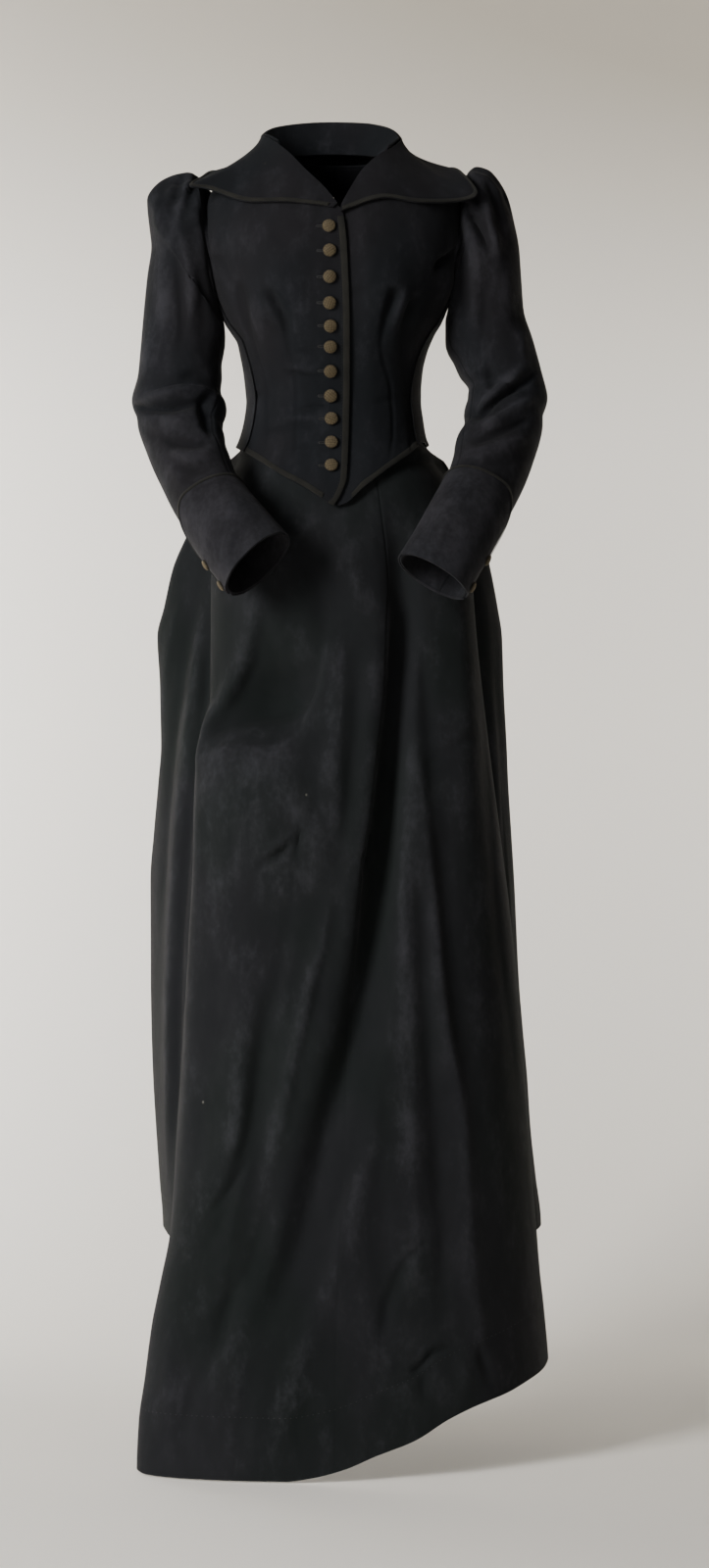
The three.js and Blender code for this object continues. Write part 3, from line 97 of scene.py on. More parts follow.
class Table:
    """Rows of named values along the first column, read by a smooth curve that never overshoots."""

    def __init__(self, columns, rows):
        self.columns = columns.split()
        self.rows = np.array(rows, float)
        slopes = np.diff(self.rows, axis=0) / np.diff(self.rows[:, 0])[:, None]
        before, after = slopes[:-1], slopes[1:]
        with np.errstate(divide="ignore", invalid="ignore"):
            middle = np.where(before * after > 0, 2 * before * after / (before + after), 0.0)
        flat = np.zeros((1, len(self.columns)))
        self.slopes = np.vstack([flat, middle, flat])

    def __call__(self, name, place):
        column = self.columns.index(name)
        starts = self.rows[:, 0]
        place = np.clip(place, starts[0], starts[-1])
        index = np.clip(np.searchsorted(starts, place, side="right") - 1, 0, len(starts) - 2)
        span = starts[index + 1] - starts[index]
        t = (place - starts[index]) / span
        square, cube = t * t, t * t * t
        return (self.rows[index, column] * (2 * cube - 3 * square + 1)
                + self.slopes[index, column] * span * (cube - 2 * square + t)
                + self.rows[index + 1, column] * (3 * square - 2 * cube)
                + self.slopes[index + 1, column] * span * (cube - square))

    def first(self):
        return self.rows[0, 0]

    def last(self):
        return self.rows[-1, 0]


# Body form of the jacket.
TORSO = Table("height right left front back squareness", [
    [1225, 170, 178, 132, 126, 2.2], [1270, 152, 160, 121, 110, 2.2], [1302, 136, 143, 110, 98, 2.2],
    [1328, 123, 122, 101, 90, 2.25], [1354, 116, 117, 94, 86, 2.3], [1379, 113, 114, 91, 84, 2.3],
    [1392, 114, 114, 92, 84, 2.3], [1418, 117, 116, 98, 87, 2.3], [1444, 122, 122, 107, 92, 2.3],
    [1457, 125, 127, 111, 95, 2.3], [1470, 133, 133, 115, 98, 2.3], [1483, 141.5, 141, 118, 101, 2.3],
    [1497, 147, 147, 120, 103, 2.3], [1521, 156, 156, 122, 107, 2.35], [1545, 163, 163, 121, 110, 2.4],
    [1570, 169, 169, 118, 112, 2.4], [1600, 172, 172, 112, 111, 2.4], [1630, 171, 171, 101, 103, 2.3],
    [1655, 160, 160, 90, 92, 2.2], [1672, 128, 128, 80, 82, 2.15], [1686, 98, 98, 71, 73, 2.1],
    [1702, 67, 67, 60, 62, 2.1],
])
BUST = {"out": 72, "height": 1522, "across": 42, "up": 46, "lift": 8}
JACKET_HEM = Table("across right left back", [
    [0, 1240, 1239, 1296], [15, 1249, 1242, 1298], [40, 1265, 1263, 1303], [68, 1280, 1285, 1308],
    [100, 1301, 1308, 1314], [122, 1314, 1326, 1320], [132, 1319, 1328, 1321], [180, 1322, 1330, 1322],
])
LAP_EDGE = Table("height across", [
    [1238, 1], [1247, 7], [1262, 14], [1275, 18], [1349, 21], [1412, 22], [1473, 22],
    [1562, 19], [1619, 13], [1629, 5], [1640, -6], [1655, -22], [1676, -44], [1697, -62], [1702, -66],
])
UNDER_EDGE = Table("height across", [
    [1238, 6], [1262, 4], [1275, -5], [1349, -5], [1473, -5], [1600, -6], [1612, -3], [1629, 13],
    [1640, 19], [1655, 28], [1676, 47], [1697, 62], [1702, 66],
])
SEAMS = Table("height underarm_front underarm_back side_back", [
    [1225, 60, 118, 150], [1380, 60, 118, 150], [1440, 66, 112, 147], [1480, 74, 106, 142],
    [1515, 80, 100, 136], [1554, 80, 100, 125], [1580, 80, 100, 116.5], [1602, 80, 100, 109.4],
])
SLEEVE_COLUMNS = "step outer_x outer_z inner_x inner_z forward half_depth"
RIGHT_SLEEVE = Table(SLEEVE_COLUMNS, [
    [1, 178, 1675, 152.5, 1501, 0, 49], [2, 188, 1679, 149.5, 1496, 0, 53], [3, 204, 1677, 147, 1491, 0, 55],
    [4, 228, 1667, 145, 1486, 0, 56], [5, 245, 1643, 143.5, 1480, 0, 56], [6, 243, 1612, 143, 1473, 1, 55],
    [7, 240, 1583, 142.5, 1465, 2, 54], [8, 245, 1545, 142.5, 1455, 4, 53], [9, 250, 1495, 144.5, 1441, 6, 52],
    [10, 254, 1447, 147, 1425, 11, 52], [11, 257, 1413, 145.5, 1405, 17, 51], [12, 265, 1377, 141, 1383, 24, 50],
    [13, 259, 1350, 141, 1366, 36, 49], [14, 247, 1318, 143, 1349, 54, 47], [15, 235, 1289, 142, 1330, 74, 45],
    [16, 221, 1261, 134, 1304, 96, 43], [17, 207, 1234, 124, 1277, 119, 41], [18, 189, 1205, 109, 1256, 143, 40],
    [19, 172, 1180, 92, 1236, 165, 39], [20, 151, 1153, 75, 1217, 184, 38], [21, 131, 1127, 59, 1199, 200, 37],
])
LEFT_SLEEVE = Table(SLEEVE_COLUMNS, [
    [1, 178, 1681, 153, 1501, 0, 49], [2, 187, 1686, 150.5, 1496, 0, 54], [3, 203, 1682, 148.8, 1491, 0, 56],
    [4, 218, 1667, 148, 1486, 0, 57], [5, 230, 1645, 147.8, 1480, 0, 57], [6, 238, 1615, 147.8, 1472, 1, 56],
    [7, 245, 1580, 147.8, 1463, 2, 55], [8, 248, 1540, 148, 1453, 4, 54], [9, 251, 1500, 151, 1442, 6, 53],
    [10, 263, 1460, 158, 1430, 11, 53], [11, 274, 1418, 166, 1411, 17, 52], [12, 282, 1380, 174, 1388, 24, 51],
    [13, 277, 1352, 173, 1366, 36, 50], [14, 271, 1326, 167, 1343, 50, 48], [15, 263, 1302, 160, 1324, 68, 46],
    [16, 252, 1273, 156, 1304, 92, 44], [17, 238, 1244, 150, 1284, 117, 42], [18, 223, 1218, 139, 1262, 142, 40],
    [19, 208, 1192, 125, 1237, 165, 39], [20, 188, 1157, 106, 1203, 184, 38], [21, 168, 1122, 86, 1171, 200, 37],
])
SLEEVE_SQUARENESS = 2.1
# Bends of the cloth at the elbow: step, tilt to the front, reach along the sleeve and depth.
ELBOW_BENDS = [(12.1, 0.5, 0.45, 5), (13.5, -0.6, 0.45, 3)]
GATHER_DEPTH = 2.6
SLEEVE_END = 21
SLEEVE_FOOT = 20.9
SLEEVE_TURN_IN = 10.0
CUFF_START = 17.4
CUFF_SLIT_TOP = 20.2
CUFF_SLIT = -9.0
CUFF_SLIT_HALF = 4.0
CUFF_LIFT = 1.1
UPPER_SLEEVE = (-70.0, 150.0)
UNDER_SLEEVE = (150.0, 290.0)

APRON = Table("height right_x left_x right_y left_y front squareness edge_angle", [
    [0, 252, 287, -196, -60, 268, 2.3, 90], [60, 250, 286, -182, -60, 262, 2.3, 90],
    [112, 243, 284, -172, -60, 256, 2.3, 90], [182, 234, 278, -158, -60, 249, 2.3, 90],
    [237, 223, 272, -148, -60, 243, 2.3, 90], [300, 211, 267, -138, -60, 237, 2.3, 90],
    [437, 202, 256, -126, -60, 224, 2.3, 90], [515, 197, 250, -122, -60, 216, 2.3, 90],
    [683, 187, 235, -114, -60, 199, 2.3, 90], [812, 180, 219, -110, -60, 185, 2.3, 90],
    [912, 177, 206, -106, -60, 172, 2.3, 90], [945, 169, 202, -98, -60, 168, 2.25, 90],
    [985, 160, 197, -84, -60, 162, 2.2, 90], [1069, 160, 188, -64, -60, 153, 2.2, 90],
    [1133, 160, 183, -52, -52, 146, 2.2, 90], [1198, 157, 176, -30, -30, 134, 2.2, 90],
    [1244, 152, 164, -12, -12, 119, 2.2, 86], [1275, 143, 152, -4, -4, 111, 2.2, 80],
    [1302, 129, 136, 0, 0, 103, 2.2, 76],
])
UPPER_SKIRT_FROM = 1302.0
UPPER_SKIRT_FULL = 1320.0
APRON_LEVEL = 300.0
APRON_RIM = 0.985
# The short parting of the front seam at knee height.
PARTING = {"height": 790, "reach": 14, "depth": 2.4}
SKIRT_TOP = 1391.5
APRON_HEM = Table("across height", [
    [-260, 3], [-240, 0], [-60, 0], [-24, 5], [17, 16], [53, 31], [106, 50],
    [149, 74], [182, 87], [199, 92], [226, 99], [255, 109], [277, 116], [290, 122],
])
APRON_SEAM = Table("height across", [
    [0, 3], [138, 4], [261, 7], [445, 14], [632, 24], [769, 34], [844, 45], [932, 55],
    [1007, 64], [1107, 70], [1133, 74], [1240, 62], [1392, 40],
])
BACK = Table("height right_x left_x right_fold left_fold right_fold_y left_fold_y side_y depth", [
    [284, 228, 276, 219, 272, -62, -28, 36, 255], [350, 233, 268, 221, 266, -62, -28, 36, 250],
    [416, 238, 261, 221, 259, -62, -28, 36, 244], [482, 242, 257, 220, 254, -60, -28, 36, 239],
    [547, 244, 251, 219, 248, -60, -28, 36, 233], [613, 245, 246, 217, 242, -58, -28, 35, 227],
    [743, 245, 240, 210, 234, -56, -28, 33, 214], [809, 240, 236, 206, 229, -54, -28, 31, 206],
    [874, 234, 232, 199, 224, -52, -28, 29, 198], [926, 230, 230, 194, 220, -50, -28, 27, 191],
    [1004, 231, 226, 184, 214, -42, -26, 25, 180], [1069, 234, 224, 178, 209, -32, -24, 23, 168],
    [1108, 225, 218, 176, 205, -24, -22, 21, 160], [1160, 213, 208, 172, 196, -10, -12, 19, 147],
    [1198, 197, 199, 169, 187, -2, -4, 17, 137], [1244, 172, 178, 160, 171, 4, 4, 15, 119],
    [1275, 153, 161, 148, 156, 6, 6, 13, 100], [1302, 138, 145, 135, 142, 5, 5, 12, 89],
    [1320, 120, 120, 118, 118, 4, 4, 10, 84],
])
BACK_SQUARENESS = 2.25
BACK_HEM = 284.0
BACK_FLUTES = [(112, 8, 7), (131, 9, 12), (152, 8, 15), (172, 9, 12), (193, 9, 15), (214, 9, 12), (236, 9, 9)]
FLUTES_FROM = 1290.0
CENTRE_VALLEY = Table("height across depth width", [
    [160, -92, 0, 24], [235, -65, 10, 24], [305, -40, 15, 24], [436, -8, 20, 24], [594, 34, 24, 22],
    [769, 58, 24, 21], [844, 66, 22, 20], [932, 74, 20, 20], [1007, 80, 17, 20], [1107, 86, 12, 20],
    [1200, 84, 5, 20], [1260, 80, 0, 20],
])
KNEE_VALLEY = Table("height across depth width", [
    [140, -160, 0, 20], [223, -130, 9, 20], [282, -107, 11, 20], [363, -96, 11, 20],
    [520, -84, 7, 20], [640, -76, 0, 20],
])
OUTER_RIDGE = Table("height across depth width", [
    [130, 196, 0, 24], [256, 181, -6, 24], [437, 173, -8, 24], [592, 147, -8, 24],
    [741, 134, -7, 24], [899, 116, -5, 24], [1000, 108, 0, 24],
])
KNEE_FORMS = [(-74, 996, 62, 58, 30), (-92, 846, 92, 90, -20)]
COLLAR = np.array([
    [7, -105, 1629, 2, -107, 1624, 1, 0], [-12, -96, 1653, -35, -105.5, 1629, 2, 0.02],
    [-35, -82, 1676, -66, -101.5, 1632, 5, 0.03], [-57, -63, 1700, -115, -89, 1634, 12, 0.02],
    [-76, -38, 1717, -163, -68, 1652, 15, -0.02], [-90, -14, 1727, -187, -62, 1657, 25, -0.06],
    [-95, 10, 1731, -174, -28, 1671, 31, -0.12], [-83, 38, 1743, -160, 10, 1682, 40, -0.14],
    [-56, 60, 1751, -136, 62, 1670, 46, -0.12], [-22, 70, 1755, -68, 105, 1662, 48, -0.08],
    [22, 70, 1755, 68, 105, 1662, 48, -0.08], [52, 62, 1752, 136, 62, 1672, 46, -0.12],
    [77, 40, 1743, 158, 10, 1686, 40, -0.14], [90, 12, 1728, 173, -28, 1674, 27, -0.12],
    [87, -14, 1720, 188, -64, 1647, 18, -0.06], [76, -38, 1709, 168, -70, 1636, 9, -0.02],
    [59, -61, 1697, 113, -90, 1632, 11, 0.02], [38, -80, 1676, 66, -100, 1637, 5, 0.03],
    [21, -97, 1648, 22, -107.5, 1623, 2, 0.02], [10, -105.6, 1627, 10, -109.3, 1618, 1, 0],
], float)
FRONT_BUTTONS = [(1599, -5), (1567, -4), (1533, -4), (1500, -4), (1471, -3), (1445, -3),
                 (1414, -3), (1382, -3), (1352, -2), (1321, -2), (1291, -2)]

# The picture's camera: focal length in pixels, place in millimetres, tilt in degrees, principal point.
FOCAL = 3846.0
CAMERA = (28.0, -5000.0, 1100.0)
TILT = 2.591
PICTURE_MIDDLE = (361.5, 800.0)
PICTURE_HEIGHT = 1600.0
SENSOR_HEIGHT = 36.0
# How far under the shoulders the paper lies, in metres, just clear of the hem.
PAPER_BELOW = 1.657


def smooth(t):
    t = np.clip(t, 0.0, 1.0)
    return t * t * (3 - 2 * t)


def mix(a, b, t):
    return a + (b - a) * t


def bell(distance, width):
    return np.exp(-(distance / width) ** 2)


def unit(vectors):
    length = np.linalg.norm(vectors, axis=-1, keepdims=True)
    return vectors / np.maximum(length, 1e-9)


def point(x, y, z):
    return np.stack(np.broadcast_arrays(x, y, z), axis=-1).astype(float)


def normal_of(surface, u, v, step_u, step_v):
    along_u = surface(u + step_u, v) - surface(u - step_u, v)
    along_v = surface(u, v + step_v) - surface(u, v - step_v)
    return unit(np.cross(along_u, along_v))


def curve_through(points, place):
    """Smooth curve through points of shape (..., count, values) at places counted in points."""
    last = points.shape[-2] - 1
    index = np.clip(np.floor(place).astype(int), 0, last - 1)
    t = (place - index)[..., None]
    before = points[..., np.maximum(index - 1, 0), :]
    start, end = points[..., index, :], points[..., index + 1, :]
    after = points[..., np.minimum(index + 2, last), :]
    return 0.5 * (2 * start + (end - before) * t + (2 * before - 5 * start + 4 * end - after) * t * t
                  + (3 * start - before - 3 * end + after) * t * t * t)


def picture_place(points):
    """Where points stand in the picture, across and down in pixels."""
    tilt = math.radians(TILT)
    away = points - np.array(CAMERA)
    depth = away[..., 1] * math.cos(tilt) - away[..., 2] * math.sin(tilt)
    rise = away[..., 1] * math.sin(tilt) + away[..., 2] * math.cos(tilt)
    return PICTURE_MIDDLE[0] + FOCAL * away[..., 0] / depth, PICTURE_MIDDLE[1] - FOCAL * rise / depth


class Fold:
    """A soft fold along a line of the picture: its place, its rise in millimetres and its reach to each side.

    A fold that runs down has rows of (down, across, rise, reach left, reach right) in pixels, and one that
    runs across has rows of (across, down, rise, reach above, reach below)."""

    def __init__(self, way, *rows):
        self.way = way
        self.table = Table("run place rise low high", rows)

    def rise(self, u, v):
        run, cross = (v, u) if self.way == "down" else (u, v)
        away = cross - self.table("place", run)
        reach = np.where(away < 0, self.table("low", run), self.table("high", run))
        inside = (run > self.table.first()) & (run < self.table.last())
        return np.where(inside, self.table("rise", run) * bell(away, reach), 0.0)


def down(*rows):
    return Fold("down", *rows)


def across(*rows):
    return Fold("across", *rows)


# How strongly the folds below are worked into each piece.
JACKET_DEPTH = 2.5
SLEEVE_DEPTH = 2.4
SKIRT_DEPTH = 1.65
# The sleeves are coloured paler than the bodice, and the cuffs most.
SLEEVE_PALER = 0.6

JACKET_FOLDS = [
    # Bust darts and the dimples at their tops.
    down((285, 243, 0, 5, 6), (300, 245, -2.6, 5, 7), (322, 250, -1.6, 4, 6), (350, 259, -0.5, 2.2, 2.2),
         (400, 272, -0.45, 1.8, 1.8), (440, 273, -0.45, 1.8, 1.8), (478, 267, 0, 1.8, 1.8)),
    down((290, 274, 0, 5, 5), (306, 278, -3.4, 4.5, 7), (328, 290, -2.4, 4, 6), (352, 294, -0.6, 2.5, 2.5),
         (400, 303, -0.45, 1.8, 1.8), (450, 302, -0.45, 1.8, 1.8), (495, 296, 0, 1.8, 1.8)),
    down((290, 403, 0, 6, 6), (304, 401, -3.2, 5, 6), (325, 394, -2.0, 4, 5), (352, 389, -0.6, 2.2, 2.2),
         (400, 399, -0.5, 1.8, 1.8), (440, 401, -0.5, 1.8, 1.8), (484, 396, 0, 1.8, 1.8)),
    down((298, 424, 0, 5, 5), (312, 419, -2.6, 4, 6), (334, 412, -1.2, 3, 4), (370, 411, -0.5, 2, 2),
         (410, 416, -0.6, 1.8, 1.8), (464, 419, -0.4, 1.8, 1.8), (475, 419, 0, 1.8, 1.8)),
    down((296, 259, 0, 8, 8), (318, 262, 1.8, 8, 8), (350, 270, 0.8, 7, 7), (385, 280, 0, 7, 7)),
    down((290, 413, 0, 7, 7), (312, 408, 1.4, 6, 6), (345, 401, 0.5, 5, 5), (372, 401, 0, 5, 5)),
    # Drag creases that pull from the buttons.
    across((286, 379, 0, 2, 2), (300, 381, -1.0, 2, 3), (322, 386, -1.2, 2.5, 3), (331, 388, 0, 2, 2)),
    across((282, 374, 0, 3, 3), (305, 375, 1.0, 3, 3), (328, 380, 0, 3, 3)),
    across((298, 419, 0, 2, 2), (312, 416, -1.1, 2.2, 3), (330, 414, -1.3, 2.5, 3), (336, 414, 0, 2, 2)),
    across((262, 441, 0, 2.5, 3), (285, 438, -1.1, 2.5, 3), (315, 434, -1.0, 3, 3), (332, 433, 0, 2, 2)),
    across((280, 427, 0, 4, 4), (305, 426, 1.1, 4, 4), (330, 424, 0, 4, 4)),
    across((292, 457, 0, 2, 3), (312, 455, -0.9, 2.5, 3), (332, 454, 0, 2, 3)),
    across((300, 356, 0, 3, 3), (316, 358, -0.9, 3, 3), (331, 361, 0, 3, 3)),
    across((352, 300, 0, 4, 4), (368, 297, -0.7, 4, 4), (388, 290, 0, 4, 4)),
    across((232, 398, 0, 5, 5), (252, 402, -0.8, 4, 4), (282, 404, 0, 4, 4)),
    across((372, 412, 0, 5, 5), (392, 409, -0.6, 4, 4), (424, 404, 0, 4, 4)),
    # Folds at the armpits.
    across((441, 275, 0, 4, 3), (449, 269, -4.5, 5, 3.5), (459, 262, -4.0, 5, 3.5), (468, 256, 0, 5, 4)),
    down((268, 459, 0, 8, 8), (292, 457, 2.6, 9, 9), (325, 452, 0, 9, 9)),
    across((212, 262, 0, 4, 4), (222, 266, -1.6, 4, 3), (236, 274, 0, 5, 4)),
    down((232, 226, 0, 6, 7), (262, 228, -1.2, 6, 7), (296, 234, 0, 6, 8)),
    down((214, 262, 0, 20, 20), (246, 266, 1.2, 22, 22), (280, 270, 0, 20, 20)),
    across((360, 235, 0, 9, 9), (392, 240, -0.8, 9, 9), (440, 232, 0, 9, 9)),
]

RIGHT_SLEEVE_FOLDS = [
    # Gathers of the sleeve head.
    down((174, 203, 0, 4, 4), (184, 200, -2.0, 4, 4), (206, 192, -1.2, 4, 5), (238, 186, 0, 5, 5)),
    down((176, 186, 0, 4, 4), (188, 182, -1.9, 4, 4), (210, 174, -1.2, 4, 5), (240, 168, 0, 5, 5)),
    down((184, 170, 0, 3, 4), (198, 165, -1.5, 4, 4), (222, 158, 0, 5, 5)),
    down((178, 195, 0, 3, 4), (192, 190, 1.6, 3, 4), (225, 180, 0.6, 4, 5), (255, 176, 0, 5, 5)),
    across((152, 208, 0, 4, 4), (170, 202, -2.2, 5, 4), (196, 196, -1.4, 4, 4), (208, 192, 0, 4, 4)),
    down((196, 209, 0, 4, 3), (230, 212, -1.8, 6, 3), (275, 217, -1.6, 6, 4), (330, 222, 0, 6, 5)),
    # Long soft folds down the upper arm.
    down((222, 182, 0, 6, 6), (258, 190, 2.0, 6, 7), (300, 196, 1.8, 6, 6), (352, 190, 0, 6, 6)),
    down((240, 176, 0, 5, 5), (288, 183, -1.7, 5, 5), (330, 187, -1.4, 5, 5), (372, 182, 0, 5, 5)),
    down((262, 163, 0, 7, 7), (310, 168, 1.3, 7, 8), (360, 160, 0, 8, 8)),
    down((276, 206, 0, 5, 5), (320, 208, -0.7, 6, 5), (372, 206, 0, 5, 5)),
    down((330, 152, 0, 8, 8), (366, 150, 1.5, 8, 8), (400, 146, 0, 8, 8)),
    # Elbow: the upper arm laps over a deep crease, with short folds below it.
    across((131, 409, 0, 7, 3), (146, 407, 3.0, 9, 3.2), (175, 402, 3.4, 9, 4), (205, 396, 1.5, 8, 5),
           (224, 396, 0, 6, 5)),
    across((133, 416, 0, 2.5, 4), (146, 415, -4.2, 2.6, 5), (175, 413, -4.6, 3, 6),
           (197, 410, -2.6, 3, 5), (212, 406, 0, 3, 4)),
    across((176, 386, 0, 6, 6), (196, 384, -2.0, 6, 5), (222, 392, 0, 6, 5)),
    down((396, 213, 0, 5, 5), (412, 208, -4.6, 6, 7), (430, 211, -4.0, 6, 6), (450, 217, 0, 5, 5)),
    across((158, 428, 0, 5, 5), (180, 430, 2.2, 5, 5), (202, 424, 0, 4, 5)),
    across((160, 446, 0, 4, 4), (178, 451, -2.8, 4, 4), (200, 453, -2.4, 4, 5), (222, 448, 0, 4, 5)),
    across((170, 462, 0, 5, 5), (192, 466, 2.4, 5, 5), (220, 462, 0, 5, 5)),
    across((180, 477, 0, 4, 4), (200, 480, -1.8, 4, 5), (226, 474, 0, 4, 5)),
    across((140, 436, 0, 7, 7), (158, 444, -1.2, 6, 7), (176, 440, 0, 6, 6)),
    # Forearm.
    down((462, 172, 0, 7, 7), (490, 184, 1.4, 7, 7), (522, 198, 0, 7, 7)),
    down((480, 212, 0, 6, 6), (502, 222, -1.4, 6, 6), (528, 236, 0, 6, 6)),
    across((188, 500, 0, 6, 6), (208, 506, -1.1, 5, 6), (232, 504, 0, 6, 6)),
]

LEFT_SLEEVE_FOLDS = [
    down((176, 478, 0, 4, 4), (190, 482, -2.0, 4, 4), (212, 489, -1.3, 4, 5), (240, 494, 0, 5, 5)),
    down((178, 496, 0, 4, 4), (192, 501, -1.8, 4, 4), (218, 508, -1.1, 4, 5), (250, 512, 0, 5, 5)),
    down((186, 512, 0, 3, 4), (202, 517, -1.4, 4, 4), (226, 521, 0, 5, 5)),
    down((186, 490, 0, 4, 4), (206, 496, 1.6, 4, 4), (236, 502, 0, 5, 5)),
    down((206, 474, 0, 4, 4), (222, 482, -3.2, 4, 6), (244, 494, -2.4, 5, 5), (262, 500, 0, 5, 5)),
    down((222, 500, 0, 5, 5), (246, 505, 2.4, 5, 5), (272, 508, 0, 5, 5)),
    down((214, 466, 0, 3, 6), (258, 469, -3.0, 4, 8), (300, 471, -2.4, 5, 8), (345, 474, 0, 5, 6)),
    down((250, 514, 0, 8, 8), (300, 517, 1.6, 8, 8), (350, 514, 0, 8, 8)),
    down((270, 496, 0, 7, 7), (320, 494, -1.4, 6, 7), (372, 492, 0, 6, 6)),
    down((325, 532, 0, 6, 6), (352, 532, 1.6, 6, 6), (380, 534, 0, 6, 6)),
    # Elbow: folds fan out from the inner side up to the outer elbow.
    across((478, 428, 0, 3, 4), (492, 420, -3.4, 3.5, 5), (515, 402, -3.6, 4, 5),
           (538, 388, -2.4, 4, 5), (550, 380, 0, 3, 4)),
    across((482, 420, 0, 6, 3), (498, 408, 2.6, 8, 4), (520, 390, 3.0, 9, 4), (544, 372, 0, 8, 4)),
    down((366, 497, 0, 4, 4), (384, 499, -2.6, 4, 5), (404, 502, 0, 4, 4)),
    across((486, 436, 0, 4, 5), (505, 429, 2.4, 5, 6), (530, 414, 2.6, 6, 6), (552, 406, 0, 5, 6)),
    across((474, 452, 0, 4, 5), (495, 446, -2.4, 4, 5), (522, 436, -2.2, 4, 5), (548, 426, 0, 4, 5)),
    across((470, 462, 0, 5, 5), (496, 460, 2.0, 5, 6), (526, 452, 1.6, 6, 6), (548, 448, 0, 6, 6)),
    across((466, 474, 0, 4, 5), (490, 474, -1.8, 4, 5), (520, 470, -1.4, 5, 5), (540, 466, 0, 5, 5)),
    across((454, 502, 0, 6, 6), (480, 494, 1.8, 6, 7), (514, 480, 0, 6, 7)),
    across((498, 506, 0, 6, 6), (515, 500, -1.2, 6, 6), (532, 488, 0, 6, 6)),
    down((486, 462, 0, 5, 5), (508, 454, -1.3, 5, 6), (524, 450, 0, 5, 5)),
]

# The two sleeves: form, side and folds.
SLEEVES = {"right": (RIGHT_SLEEVE, -1, RIGHT_SLEEVE_FOLDS), "left": (LEFT_SLEEVE, 1, LEFT_SLEEVE_FOLDS)}

